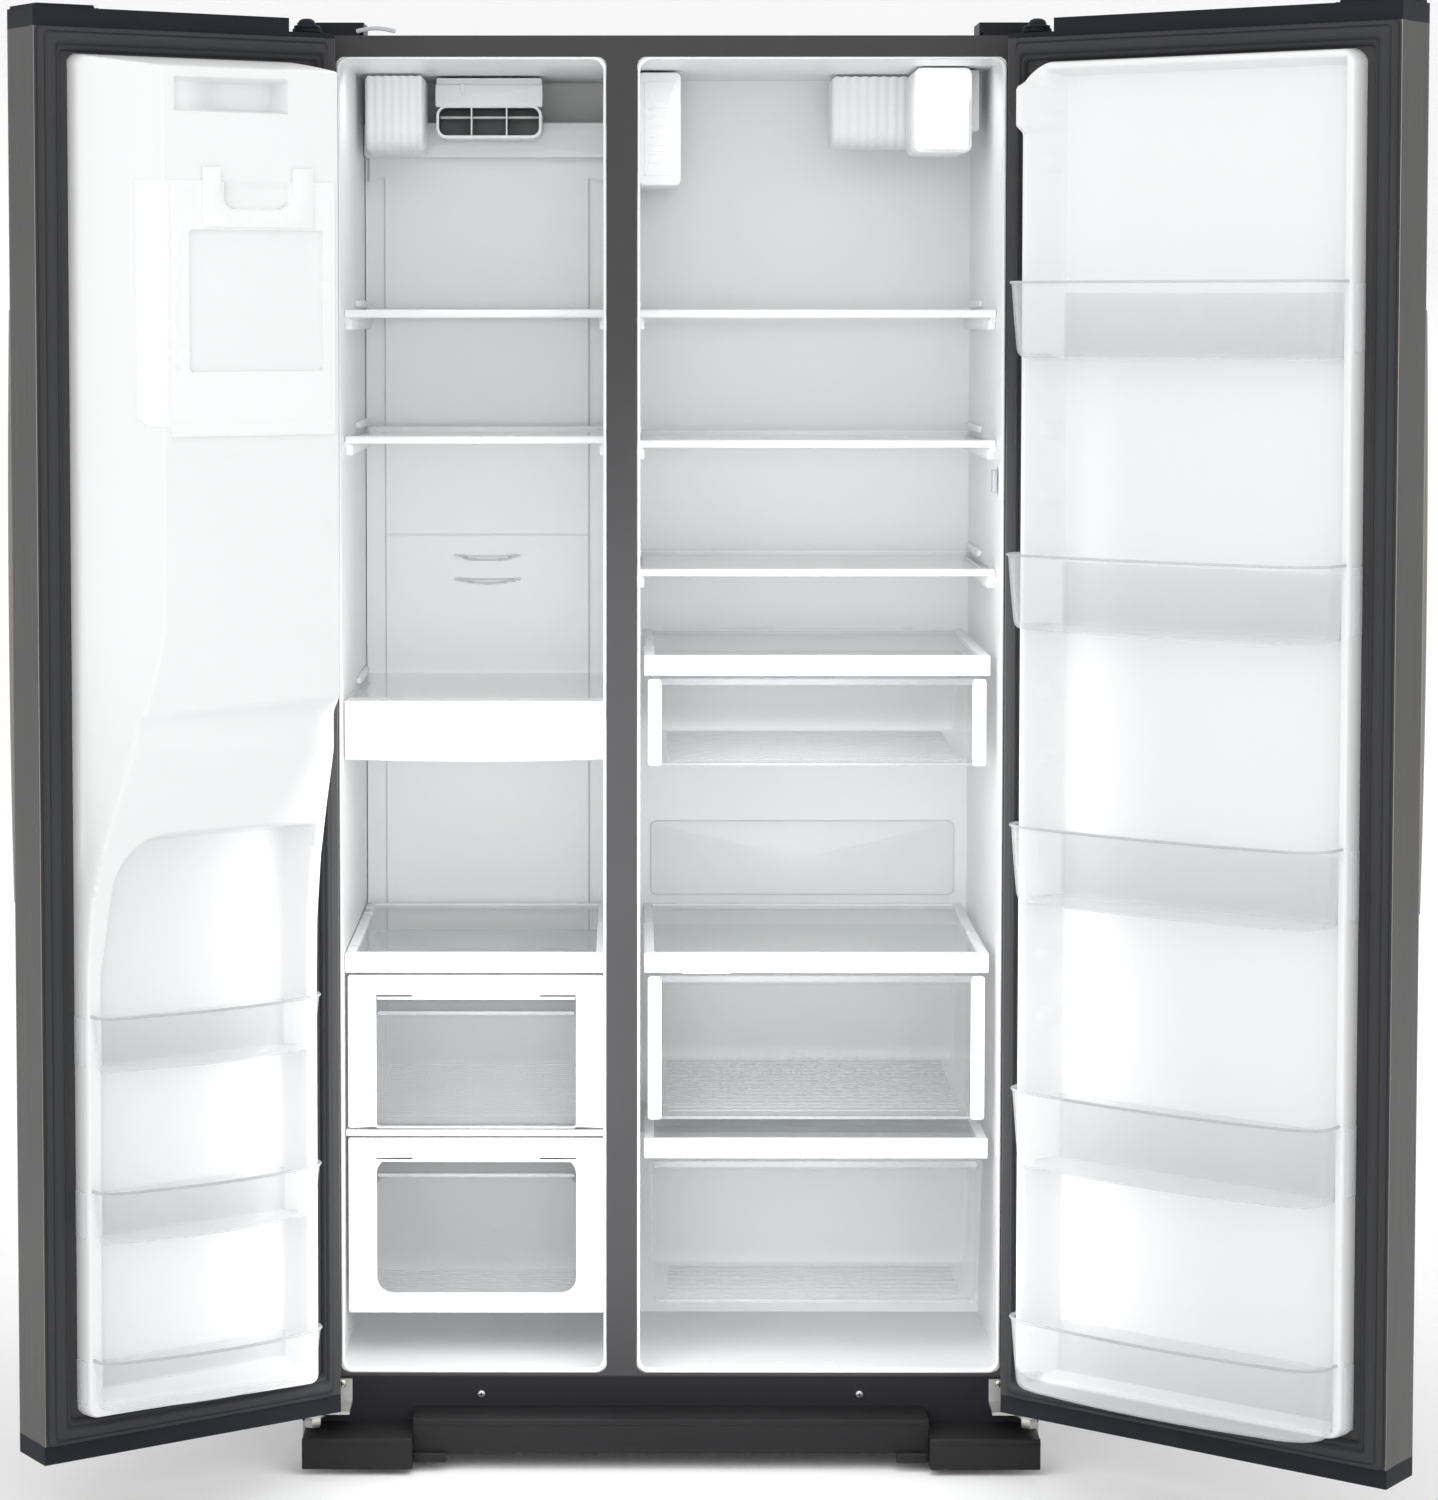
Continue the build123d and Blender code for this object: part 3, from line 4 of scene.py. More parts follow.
import bmesh
import bpy
import numpy as np
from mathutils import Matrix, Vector


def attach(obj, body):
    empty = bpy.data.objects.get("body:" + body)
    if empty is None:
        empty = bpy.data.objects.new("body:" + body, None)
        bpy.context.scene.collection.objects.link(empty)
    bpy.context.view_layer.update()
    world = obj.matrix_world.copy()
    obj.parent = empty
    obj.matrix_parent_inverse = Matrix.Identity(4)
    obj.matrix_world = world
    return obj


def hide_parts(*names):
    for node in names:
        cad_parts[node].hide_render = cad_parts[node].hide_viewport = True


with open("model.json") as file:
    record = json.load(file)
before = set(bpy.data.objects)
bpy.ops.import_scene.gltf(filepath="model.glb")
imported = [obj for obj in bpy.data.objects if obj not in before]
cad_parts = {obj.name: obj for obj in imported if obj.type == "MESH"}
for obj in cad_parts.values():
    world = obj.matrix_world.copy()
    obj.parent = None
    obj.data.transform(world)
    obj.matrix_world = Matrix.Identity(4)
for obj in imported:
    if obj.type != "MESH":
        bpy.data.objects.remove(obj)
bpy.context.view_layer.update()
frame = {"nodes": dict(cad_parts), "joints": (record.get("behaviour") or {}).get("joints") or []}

# Side by side refrigerator with both doors open.
# Sizes are in millimetres until a piece is placed; the finished meshes are in metres.
# A place on a door is (u, w, z): u runs from the hinge edge towards the free edge, w stands
# out of the door's inner face, and z is the height above the floor.

MM = 0.001


# ---------------------------------------------------------------- sizes

HALF_WIDTH = 454.0
OPENING_LOW = 104.0
OPENING_HIGH = 1719.0
FREEZER_X = (-406.0, -78.5)
FRIDGE_X = (-41.5, 406.0)
PIN_INSET = 17.5
PIN_SETBACK = 38.0
PIN_X = 436.5
PIN_Y = -52.0
DOOR_THICK = 78.0
DOOR_LOW = 77.0
DOOR_HIGH = 1757.0
CAP = 22.0


class Door:
    """A door's own frame: where its hinge stands and which way the open door points."""

    def __init__(self, side, width, angle):
        turn = radians(angle)
        self.side = side
        self.width = width
        self.along = np.array([-side * cos(turn), -sin(turn)])
        self.inward = np.array([-side * sin(turn), cos(turn)])
        self.pivot = np.array([side * PIN_X, PIN_Y])

    def place(self, u, w, z):
        """Turns arrays of u, w and z into points in metres."""
        u, w, z = np.broadcast_arrays(np.asarray(u, float), np.asarray(w, float), np.asarray(z, float))
        flat = (self.pivot + (u - PIN_INSET)[..., None] * self.along
                + (w + PIN_SETBACK)[..., None] * self.inward)
        return np.concatenate([flat, z[..., None]], axis=-1) * MM


open_angle = {joint["name"]: -joint["range_deg"][0] for joint in frame["joints"] if joint.get("range_deg")}
FREEZER_DOOR = Door(-1, 392.0, open_angle["freezer_door_hinge"])
FRIDGE_DOOR = Door(1, 508.0, open_angle["fridge_door_hinge"])


# ---------------------------------------------------------------- working with surfaces


def quads(rows, columns, around):
    """Faces of a grid of points; around joins the last column to the first."""
    last = columns if around else columns - 1
    r, c = np.meshgrid(np.arange(rows - 1), np.arange(last), indexing="ij")
    a = r * columns + c
    b = r * columns + (c + 1) % columns
    return np.stack([a, b, b + columns, a + columns], axis=-1).reshape(-1, 4)


def smooth(t):
    """The soft step 3t^2 - 2t^3, held at 0 and 1 outside 0 to 1."""
    t = np.clip(t, 0.0, 1.0)
    return t * t * (3.0 - 2.0 * t)


def piece(name, patches, finishes, body, stands_for=(), angle=32.0, wall=0.0, closed=True,
          flip=False):
    """One object from patches: each is a grid of points in metres and a flag that says if it closes round."""
    points, faces, marks, start = [], [], [], 0
    for patch in patches:
        grid, around = patch[0], patch[1]
        mark = patch[2] if len(patch) > 2 else 0
        rows, columns = grid.shape[:2]
        found = quads(rows, columns, around) + start
        points.append(grid.reshape(-1, 3))
        faces.append(found)
        marks.append(np.full(len(found), mark))
        start += rows * columns
    mesh = bpy.data.meshes.new(name)
    mesh.from_pydata(np.concatenate(points), [], np.concatenate(faces).tolist())
    for finish in finishes:
        mesh.materials.append(finish)
    mesh.polygons.foreach_set("material_index", np.concatenate(marks).astype(np.int32))
    work = bmesh.new()
    work.from_mesh(mesh)
    bmesh.ops.remove_doubles(work, verts=work.verts, dist=1e-6)
    bmesh.ops.dissolve_degenerate(work, edges=work.edges, dist=1e-7)
    if closed:
        bmesh.ops.recalc_face_normals(work, faces=work.faces)
    elif flip:
        bmesh.ops.reverse_faces(work, faces=work.faces)
    work.to_mesh(mesh)
    work.free()
    mesh.shade_smooth()
    mesh.set_sharp_from_angle(angle=radians(angle))
    made = bpy.data.objects.new(name, mesh)
    bpy.context.scene.collection.objects.link(made)
    if wall:
        solid = made.modifiers.new("wall", "SOLIDIFY")
        solid.thickness = wall * MM
        solid.offset = -1.0
        solid.use_even_offset = False
    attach(made, body)
    if stands_for:
        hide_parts(*stands_for)
    return made


def round_loop(x0, x1, y0, y1, radius, steps=5):
    """A rectangle with rounded corners, counter-clockwise: each corner is a quarter circle."""
    radius = min(radius, (x1 - x0) / 2 - 1e-3, (y1 - y0) / 2 - 1e-3)
    turn = np.linspace(0.0, pi / 2, steps + 1)
    loop = []
    for cx, cy, start in ((x1 - radius, y1 - radius, 0.0), (x0 + radius, y1 - radius, pi / 2),
                          (x0 + radius, y0 + radius, pi), (x1 - radius, y0 + radius, 1.5 * pi)):
        loop.append(np.stack([cx + radius * np.cos(start + turn), cy + radius * np.sin(start + turn)],
                             axis=1))
    return np.concatenate(loop)


def block(a, b, c, radius, edge, place, steps=4):
    """A closed block: a rounded rectangle over a and b, carried along c, with softened rims and flat ends."""
    rows = []
    middle = np.array([(a[0] + a[1]) / 2, (b[0] + b[1]) / 2])
    bend = np.linspace(0.0, pi / 2, 3)
    rims = [(edge * (1 - sin(t)), c[0] + edge * (1 - cos(t))) for t in bend]
    rims += [(edge * (1 - sin(t)), c[1] - edge * (1 - cos(t))) for t in bend[::-1]]
    for inset, height in rims:
        loop = round_loop(a[0] + inset, a[1] - inset, b[0] + inset, b[1] - inset,
                          max(radius - inset, 0.05), steps)
        rows.append(np.column_stack([loop, np.full(len(loop), height)]))
    count = len(rows[0])
    ends = [np.tile([middle[0], middle[1], height], (count, 1)) for height in c]
    grid = np.stack([ends[0]] + rows + [ends[1]])
    return place(grid[..., 0], grid[..., 1], grid[..., 2]), True


def xyz(x, y, z):
    """Points in metres from millimetres."""
    return np.stack(np.broadcast_arrays(x, y, z), axis=-1).astype(float) * MM


def upright(a, b, c):
    """A block whose length stands up: a is X, b is Y, c is Z."""
    return xyz(a, b, c)


def facing(a, b, c):
    """A block whose length runs to the back: a is X, b is Z, c is Y."""
    return xyz(a, c, b)


def sideways(a, b, c):
    """A block whose length runs across: a is Y, b is Z, c is X."""
    return xyz(c, a, b)


def tube(path, radius, sides=12, flat=1.0, up=(0.0, 0.0, 1.0)):
    """A round or oval bar: a ring of the given radius carried along the path, with its ends closed."""
    path = np.asarray(path, float)
    heading = np.gradient(path, axis=0)
    heading /= np.linalg.norm(heading, axis=1, keepdims=True)
    side = np.cross(heading, np.asarray(up, float))
    weak = np.linalg.norm(side, axis=1) < 1e-6
    side[weak] = np.cross(heading[weak], (1.0, 0.0, 0.0))
    side /= np.linalg.norm(side, axis=1, keepdims=True)
    rise = np.cross(side, heading)
    turn = np.linspace(0.0, tau, sides, endpoint=False)
    reach = np.broadcast_to(np.asarray(radius, float), (len(path),))
    ring = (path[:, None, :] + reach[:, None, None] * (np.cos(turn)[None, :, None] * side[:, None, :]
            + flat * np.sin(turn)[None, :, None] * rise[:, None, :]))
    ends = [np.broadcast_to(path[i], (1, sides, 3)) for i in (0, -1)]
    return np.concatenate([ends[0], ring, ends[1]]) * MM, True


def turned(profile, centre, axis, sides=32):
    """A turned form: the profile's (distance along the axis, radius) pairs carried once round the axis."""
    profile = np.asarray(profile, float)
    turn = np.linspace(0.0, tau, sides, endpoint=False)
    axis = np.asarray(axis, float)
    first = np.cross(axis, (0.0, 0.0, 1.0) if abs(axis[2]) < 0.9 else (1.0, 0.0, 0.0))
    first /= np.linalg.norm(first)
    second = np.cross(axis, first)
    spoke = np.cos(turn)[:, None] * first + np.sin(turn)[:, None] * second
    grid = np.asarray(centre, float) + profile[:, 0, None, None] * axis + profile[:, 1, None,
            None] * spoke[None]
    return grid * MM, True


# ---------------------------------------------------------------- finishes


def new_group(name, inputs, outputs):
    """An empty shader group with named float or colour sockets."""
    group = bpy.data.node_groups.new(name, "ShaderNodeTree")
    for label, kind, value in inputs:
        socket = group.interface.new_socket(label, in_out="INPUT", socket_type=kind)
        socket.default_value = value
    for label, kind in outputs:
        group.interface.new_socket(label, in_out="OUTPUT", socket_type=kind)
    return group, group.nodes.new("NodeGroupInput"), group.nodes.new("NodeGroupOutput")


def link(tree, source, target):
    """Joins an output socket to an input socket."""
    tree.links.new(source, target)


def sum_of(tree, kind, first, second):
    """A maths node over two sockets or numbers."""
    node = tree.nodes.new("ShaderNodeMath")
    node.operation = kind
    for socket, value in zip(node.inputs, (first, second)):
        if isinstance(value, (int, float)):
            socket.default_value = value
        else:
            tree.links.new(value, socket)
    return node.outputs[0]


def moulded_grain():
    """Fine pebbling of moulded plastic or paint over a slow drift in tone."""
    group, source, target = new_group(
        "moulded_grain",
        (("Grain", "NodeSocketFloat", 900.0), ("Drift", "NodeSocketFloat", 6.0),
         ("Stretch", "NodeSocketVector", (1, 1, 1))),
        (("Height", "NodeSocketFloat"), ("Tone", "NodeSocketFloat")))
    place = group.nodes.new("ShaderNodeTexCoord")
    scale = group.nodes.new("ShaderNodeVectorMath")
    scale.operation = "MULTIPLY"
    fine = group.nodes.new("ShaderNodeTexNoise")
    fine.inputs["Detail"].default_value = 3.0
    slow = group.nodes.new("ShaderNodeTexNoise")
    slow.inputs["Detail"].default_value = 4.0
    link(group, place.outputs["Object"], scale.inputs[0])
    link(group, source.outputs["Stretch"], scale.inputs[1])
    link(group, scale.outputs[0], fine.inputs["Vector"])
    link(group, source.outputs["Grain"], fine.inputs["Scale"])
    link(group, place.outputs["Object"], slow.inputs["Vector"])
    link(group, source.outputs["Drift"], slow.inputs["Scale"])
    link(group, fine.outputs["Fac"], target.inputs["Height"])
    link(group, slow.outputs["Fac"], target.inputs["Tone"])
    return group


def brushed_lines():
    """Long fine scratches that run up a metal sheet, with a slow change in how strong they are."""
    group, source, target = new_group(
        "brushed_lines",
        (("Lines", "NodeSocketFloat", 260.0), ("Length", "NodeSocketVector", (1, 1, 0.012))),
        (("Height", "NodeSocketFloat"), ("Tone", "NodeSocketFloat")))
    place = group.nodes.new("ShaderNodeTexCoord")
    scale = group.nodes.new("ShaderNodeVectorMath")
    scale.operation = "MULTIPLY"
    fine = group.nodes.new("ShaderNodeTexNoise")
    fine.inputs["Detail"].default_value = 5.0
    fine.inputs["Roughness"].default_value = 0.65
    slow = group.nodes.new("ShaderNodeTexNoise")
    slow.inputs["Scale"].default_value = 5.0
    slow.inputs["Detail"].default_value = 2.0
    link(group, place.outputs["Object"], scale.inputs[0])
    link(group, source.outputs["Length"], scale.inputs[1])
    link(group, scale.outputs[0], fine.inputs["Vector"])
    link(group, source.outputs["Lines"], fine.inputs["Scale"])
    link(group, place.outputs["Object"], slow.inputs["Vector"])
    mixed = sum_of(group, "MULTIPLY", fine.outputs["Fac"], sum_of(group, "ADD", slow.outputs["Fac"], 0.5))
    link(group, fine.outputs["Fac"], target.inputs["Height"])
    link(group, mixed, target.inputs["Tone"])
    return group


GRAIN = moulded_grain()
BRUSH = brushed_lines()


def finish(name, colour, second=None, rough=(0.35, 0.5), metal=0.0, bump=0.06, grain=900.0, drift=6.0,
           stretch=(1, 1, 1), group=None, coat=0.0, glow=None, sheer=None, ior=None):
    """A material: two close colours and two roughnesses mixed over the surface, with a fine bump.

    glow is an emission strength; sheer is the opacity seen square on and the opacity seen edge on.
    """
    made = bpy.data.materials.new(name)
    made.use_nodes = True
    tree = made.node_tree
    shader = tree.nodes["Principled BSDF"]
    effect = tree.nodes.new("ShaderNodeGroup")
    effect.node_tree = group or GRAIN
    if group is BRUSH:
        effect.inputs["Lines"].default_value = grain
        effect.inputs["Length"].default_value = stretch
    else:
        effect.inputs["Grain"].default_value = grain
        effect.inputs["Drift"].default_value = drift
        effect.inputs["Stretch"].default_value = stretch
    tint = tree.nodes.new("ShaderNodeMix")
    tint.data_type = "RGBA"
    second = second or tuple(min(1.0, c * 0.93) for c in colour)
    tint.inputs["A"].default_value = (*colour, 1.0)
    tint.inputs["B"].default_value = (*second, 1.0)
    link(tree, effect.outputs["Tone"], tint.inputs["Factor"])
    link(tree, tint.outputs["Result"], shader.inputs["Base Color"])
    spread = tree.nodes.new("ShaderNodeMapRange")
    spread.inputs["To Min"].default_value = rough[0]
    spread.inputs["To Max"].default_value = rough[1]
    link(tree, effect.outputs["Tone"], spread.inputs["Value"])
    link(tree, spread.outputs[0], shader.inputs["Roughness"])
    raised = tree.nodes.new("ShaderNodeBump")
    raised.inputs["Strength"].default_value = bump
    raised.inputs["Distance"].default_value = 0.0004
    link(tree, effect.outputs["Height"], raised.inputs["Height"])
    link(tree, raised.outputs["Normal"], shader.inputs["Normal"])
    shader.inputs["Metallic"].default_value = metal
    if coat:
        shader.inputs["Coat Weight"].default_value = coat
        shader.inputs["Coat Roughness"].default_value = 0.08
    if ior:
        shader.inputs["IOR"].default_value = ior
    if glow:
        link(tree, tint.outputs["Result"], shader.inputs["Emission Color"])
        shader.inputs["Emission Strength"].default_value = glow
    if sheer:
        edge = tree.nodes.new("ShaderNodeLayerWeight")
        edge.inputs["Blend"].default_value = 0.28
        veil = tree.nodes.new("ShaderNodeMapRange")
        veil.inputs["To Min"].default_value = sheer[0]
        veil.inputs["To Max"].default_value = sheer[1]
        link(tree, edge.outputs["Facing"], veil.inputs["Value"])
        link(tree, veil.outputs[0], shader.inputs["Alpha"])
    return made


liner_white = finish("liner_white", (0.86, 0.865, 0.87), (0.83, 0.835, 0.84), rough=(0.30, 0.42),
                     bump=0.05, grain=700.0, drift=3.0)
trim_white = finish("trim_white", (0.90, 0.905, 0.91), (0.87, 0.875, 0.88), rough=(0.22, 0.34), bump=0.03,
                    grain=1200.0)
duct_white = finish("duct_white", (0.80, 0.81, 0.82), (0.76, 0.77, 0.78), rough=(0.35, 0.5), bump=0.06,
                    grain=900.0)
# Grey for the ice bin's sunk window: painted shade in that deep recess.
ice_bin_shade_grey = finish("ice_bin_shade_grey", (0.58, 0.585, 0.59), (0.52, 0.525, 0.53), rough=(0.35, 0.5), bump=0.06,
                  grain=800.0)
# Dark grey for the insides of the air outlet's deep mouths: painted shade.
painted_shade_grey = finish("painted_shade_grey", (0.16, 0.165, 0.17), (0.11, 0.115, 0.12), rough=(0.4, 0.55), bump=0.06,
                    grain=900.0)
black_stainless = finish("black_stainless", (0.13, 0.128, 0.125), (0.085, 0.084, 0.083),
                         rough=(0.26, 0.42), metal=1.0, bump=0.16,
                         grain=520.0, stretch=(1, 1, 0.006), group=BRUSH)
handle_steel = finish("handle_steel", (0.34, 0.31, 0.285), (0.26, 0.24, 0.225), rough=(0.24, 0.36),
                      metal=1.0, bump=0.12,
                      grain=700.0, stretch=(1, 1, 0.01), group=BRUSH)
cabinet_paint = finish("cabinet_paint", (0.060, 0.060, 0.062), (0.048, 0.048, 0.050), rough=(0.38, 0.52),
                       bump=0.22, grain=620.0)
frame_charcoal = finish("frame_charcoal", (0.062, 0.062, 0.064), (0.050, 0.050, 0.052), rough=(0.34, 0.46),
                        bump=0.10, grain=800.0, ior=1.24)
cap_black = finish("cap_black", (0.018, 0.020, 0.026), (0.012, 0.013, 0.018), rough=(0.45, 0.62),
                   bump=0.12, grain=600.0, ior=1.24)
seal_grey = finish("seal_grey", (0.050, 0.051, 0.055), (0.038, 0.039, 0.042), rough=(0.50, 0.68),
                   bump=0.10, grain=500.0, ior=1.24)
grille_black = finish("grille_black", (0.020, 0.020, 0.021), (0.014, 0.014, 0.015), rough=(0.42, 0.58),
                      bump=0.14, grain=520.0, ior=1.24)
zinc = finish("zinc", (0.60, 0.60, 0.58), (0.45, 0.44, 0.42), rough=(0.28, 0.5), metal=1.0, bump=0.12,
              grain=420.0, drift=40.0)
galvanised = finish("galvanised", (0.52, 0.53, 0.54), (0.40, 0.41, 0.42), rough=(0.35, 0.55), metal=0.9,
                    bump=0.08, grain=300.0, drift=55.0)
black_enamel = finish("black_enamel", (0.014, 0.014, 0.015), (0.010, 0.010, 0.011), rough=(0.22, 0.36),
                      bump=0.08, grain=420.0, coat=0.4)
fin_aluminium = finish("fin_aluminium", (0.74, 0.75, 0.76), (0.62, 0.63, 0.64), rough=(0.30, 0.5),
                       metal=1.0, bump=0.3, grain=160.0,
                       stretch=(3.0, 0.2, 0.2))
fan_plastic = finish("fan_plastic", (0.035, 0.036, 0.038), (0.026, 0.027, 0.029), rough=(0.4, 0.55),
                     bump=0.1)
roller_plastic = finish("roller_plastic", (0.62, 0.62, 0.60), (0.52, 0.52, 0.50), rough=(0.4, 0.6),
                        bump=0.1)
button_grey = finish("button_grey", (0.50, 0.51, 0.53), (0.45, 0.46, 0.48), rough=(0.35, 0.5), bump=0.08)
foam_cream = finish("foam_cream", (0.76, 0.66, 0.42), (0.66, 0.56, 0.34), rough=(0.8, 0.95), bump=0.5,
                    grain=260.0, drift=30.0)
panel_glass = finish("panel_glass", (0.010, 0.010, 0.012), (0.008, 0.008, 0.010), rough=(0.06, 0.12),
                     bump=0.01, coat=0.6)
clear_plastic = finish("clear_plastic", (0.93, 0.94, 0.95), (0.88, 0.895, 0.915), rough=(0.04, 0.10),
                       bump=0.01, drift=9.0, sheer=(0.10, 0.62))
clear_rim = finish("clear_rim", (0.66, 0.67, 0.70), (0.58, 0.595, 0.63), rough=(0.06, 0.12), bump=0.01,
                   drift=9.0, sheer=(0.38, 0.80))
drawer_clear = finish("drawer_clear", (0.93, 0.94, 0.95), (0.89, 0.90, 0.92), rough=(0.06, 0.14),
                      bump=0.02, drift=9.0, sheer=(0.08, 0.50))
shelf_glass = finish("shelf_glass", (0.80, 0.87, 0.85), (0.75, 0.83, 0.81), rough=(0.02, 0.06), bump=0.005,
                     sheer=(0.12, 0.45))
lamp_glow = finish("lamp_glow", (0.88, 0.885, 0.89), (0.80, 0.81, 0.83), rough=(0.25, 0.4), bump=0.05,
                   drift=14.0, glow=0.10)
lamp_soft = finish("lamp_soft", (0.74, 0.745, 0.75), (0.68, 0.685, 0.70), rough=(0.25, 0.4), bump=0.05,
                   drift=8.0, glow=0.10)
floor_pale = finish("floor_pale", (0.97, 0.97, 0.97), (0.96, 0.96, 0.96), rough=(0.6, 0.75), bump=0.03,
                    grain=60.0, drift=0.6)


def darker_below(material, lower, height):
    """The same material with the lower one's colour under a height, told by the surface's own coordinates."""
    tree = material.node_tree
    shader = tree.nodes["Principled BSDF"]
    upper = shader.inputs["Base Color"].links[0].from_socket
    where = tree.nodes.new("ShaderNodeTexCoord")
    parts = tree.nodes.new("ShaderNodeSeparateXYZ")
    mask = tree.nodes.new("ShaderNodeMapRange")
    mix = tree.nodes.new("ShaderNodeMix")
    mix.data_type = "RGBA"
    mask.inputs["From Min"].default_value = height - 0.001
    mask.inputs["From Max"].default_value = height + 0.001
    mix.inputs["A"].default_value = (*lower, 1.0)
    link(tree, where.outputs["Object"], parts.inputs[0])
    link(tree, parts.outputs["Z"], mask.inputs["Value"])
    link(tree, mask.outputs[0], mix.inputs["Factor"])
    link(tree, upper, mix.inputs["B"])
    link(tree, mix.outputs["Result"], shader.inputs["Base Color"])


front_charcoal = finish("front_charcoal", (0.062, 0.062, 0.064), (0.050, 0.050, 0.052), rough=(0.34, 0.46),
                        bump=0.10, grain=800.0, ior=1.24)
darker_below(front_charcoal, (0.016, 0.016, 0.019), 0.101)

KEPT = {
    "cabinet_shell": cabinet_paint, "front_frame": front_charcoal, "freezer_liner": liner_white,
    "fridge_liner": liner_white, "cabinet_foam": foam_cream, "rear_panel": galvanised,
    "machine_room_cover": cap_black, "base_pan": galvanised, "leveling_feet": zinc,
        "base_grille": grille_black,
    "cabinet_screws": zinc, "top_hinges": cap_black, "bottom_hinges": zinc, "ice_module": liner_white,
    "compressor": black_enamel, "condenser_coil": black_enamel, "drain_pan": galvanised,
    "fan_motors": black_enamel, "water_inlet_valve": roller_plastic, "evaporator": fin_aluminium,
    "evaporator_cover": liner_white, "air_ducts": duct_white, "light_lenses": lamp_glow,
    "filter_housing": trim_white, "shelf_panes": shelf_glass, "shelf_trims": trim_white,
    "freezer_light_fascia": lamp_soft, "crisper_covers": trim_white, "basket_cover": trim_white,
    "freezer_door_skin": black_stainless, "freezer_door_caps": cap_black, "freezer_door_foam": foam_cream,
    "freezer_door_liner": liner_white, "freezer_door_gasket": seal_grey,
        "freezer_door_handle": handle_steel,
    "freezer_door_bins": clear_plastic, "dispenser_housing": grille_black,
        "fridge_door_skin": black_stainless,
    "fridge_door_caps": cap_black, "fridge_door_foam": foam_cream, "fridge_door_liner": liner_white,
    "fridge_door_gasket": seal_grey, "fridge_door_handle": handle_steel, "fridge_door_bins": clear_plastic,
    "upper_crisper": drawer_clear, "middle_crisper": drawer_clear, "lower_crisper": drawer_clear,
    "freezer_upper_basket": trim_white, "freezer_lower_basket": trim_white, "humidity_slider": trim_white,
    "water_filter": trim_white, "filter_door": trim_white, "light_switch": button_grey,
    "rear_roller_left": roller_plastic, "rear_roller_right": roller_plastic, "condenser_fan": fan_plastic,
    "evaporator_fan": fan_plastic, "ice_bin": ice_bin_shade_grey, "ice_bin_latch": button_grey,
        "dispenser_paddle": cap_black,
}
for node, material in KEPT.items():
    shown = frame["nodes"][node]
    for place in shown.material_slots:
        place.material = material


# ---------------------------------------------------------------- the doors' inner faces


def spaced(stops, step):
    """Grid values from a list of (value, spacing) stops: the spacing changes from stop to stop."""
    out = []
    for (low, fine), (high, _) in zip(stops[:-1], stops[1:]):
        count = max(1, int(round((high - low) / (fine * step))))
        out.append(np.linspace(low, high, count, endpoint=False))
    return np.concatenate(out + [[stops[-1][0]]])


def corner_depth(u, z, u_span, z_span, radius):
    """How far a point lies inside a rectangle with rounded corners, in millimetres."""
    cu, cz = (u_span[0] + u_span[1]) / 2, (z_span[0] + z_span[1]) / 2
    qu = np.abs(u - cu) - ((u_span[1] - u_span[0]) / 2 - radius)
    qz = np.abs(z - cz) - ((z_span[1] - z_span[0]) / 2 - radius)
    outside = np.hypot(np.maximum(qu, 0), np.maximum(qz, 0))
    return radius - outside - np.minimum(np.maximum(qu, qz), 0)


def bump(distance, width):
    """A soft round bump of height 1 at 0 that fades out over a width."""
    return smooth(1.0 - np.abs(distance) / width)


def fridge_door_panel():
    """The fridge door's moulded inner panel, a height over u and z.

    A border rises all round with rounded corners; on the hinge side it is higher and
    slopes in to the flat back, with a lobe near the top and small lugs that carry the bins.
    """
    door = FRIDGE_DOOR
    u = spaced([(52, 0.8), (66, 1.4), (94, 5), (440, 1.2), (466, 1)], 1.0)
    z = spaced([(129, 0.8), (150, 2.2), (1680, 0.8), (1705, 1)], 1.6)
    u, z = np.meshgrid(u, z, indexing="ij")
    ridge = 30.0 + 30.0 * smooth((1702.0 - z) / 30.0) * smooth((z - 129.0) / 30.0)
    ridge = ridge + 16.0 * smooth((z - 1618.0) / 10.0) * smooth((1680.0 - z) / 10.0)
    hinge_wall = ridge * (1.0 - smooth((u - 60.0) / 30.0) ** 0.8)
    free_wall = 29.0 * smooth((u - 446.0) / 9.0)
    end_wall = 29.0 * np.maximum(smooth((z - 1686.0) / 10.0), smooth((148.0 - z) / 10.0))
    height = np.maximum(np.maximum(hinge_wall, free_wall), np.maximum(end_wall, 2.5))
    for level in (1635.0, 1585.0, 1273.0, 1195.0, 962.0, 884.0, 650.0, 575.0):
        height = height + 7.0 * bump(u - 77.0, 9.0) * smooth((z - level + 10.0) / 4.0) * smooth((level
                + 10.0 - z) / 4.0)
    depth = corner_depth(u, z, (52.0, 466.0), (129.0, 1705.0), 20.0)
    rise = np.sqrt(np.clip(1.0 - (1.0 - np.clip(depth / 5.0, 0.0, 1.0)) ** 2, 0.0, 1.0))
    height = -1.0 + (height + 1.0) * rise
    return piece("fridge_door_panel", [(door.place(u, height, z), False)], [liner_white], "fridge_door",
                 stands_for=("fridge_door_liner",), angle=60.0, closed=False, flip=True)


def along_edge(z, table):
    """A value read from a table of (z, value) rows, eased between them."""
    table = np.array(sorted(table))
    return np.interp(z, table[:, 0], table[:, 1])


FREEZER_RIDGE = ((100, 46), (618, 46.5), (694, 48.5), (768, 58), (836, 74), (880, 86), (921, 96),
                 (956, 104.5), (985, 106), (1800, 106))
FREEZER_CREASE_U = ((100, 352), (648, 351), (727, 347), (790, 340), (850, 328.5), (920, 313), (995, 294),
                    (1040, 284), (1090, 282), (1800, 282))
FREEZER_CREASE_W = ((100, 29), (648, 30), (727, 42), (790, 58), (850, 75), (920, 92), (995, 104),
                    (1040, 106), (1800, 106))


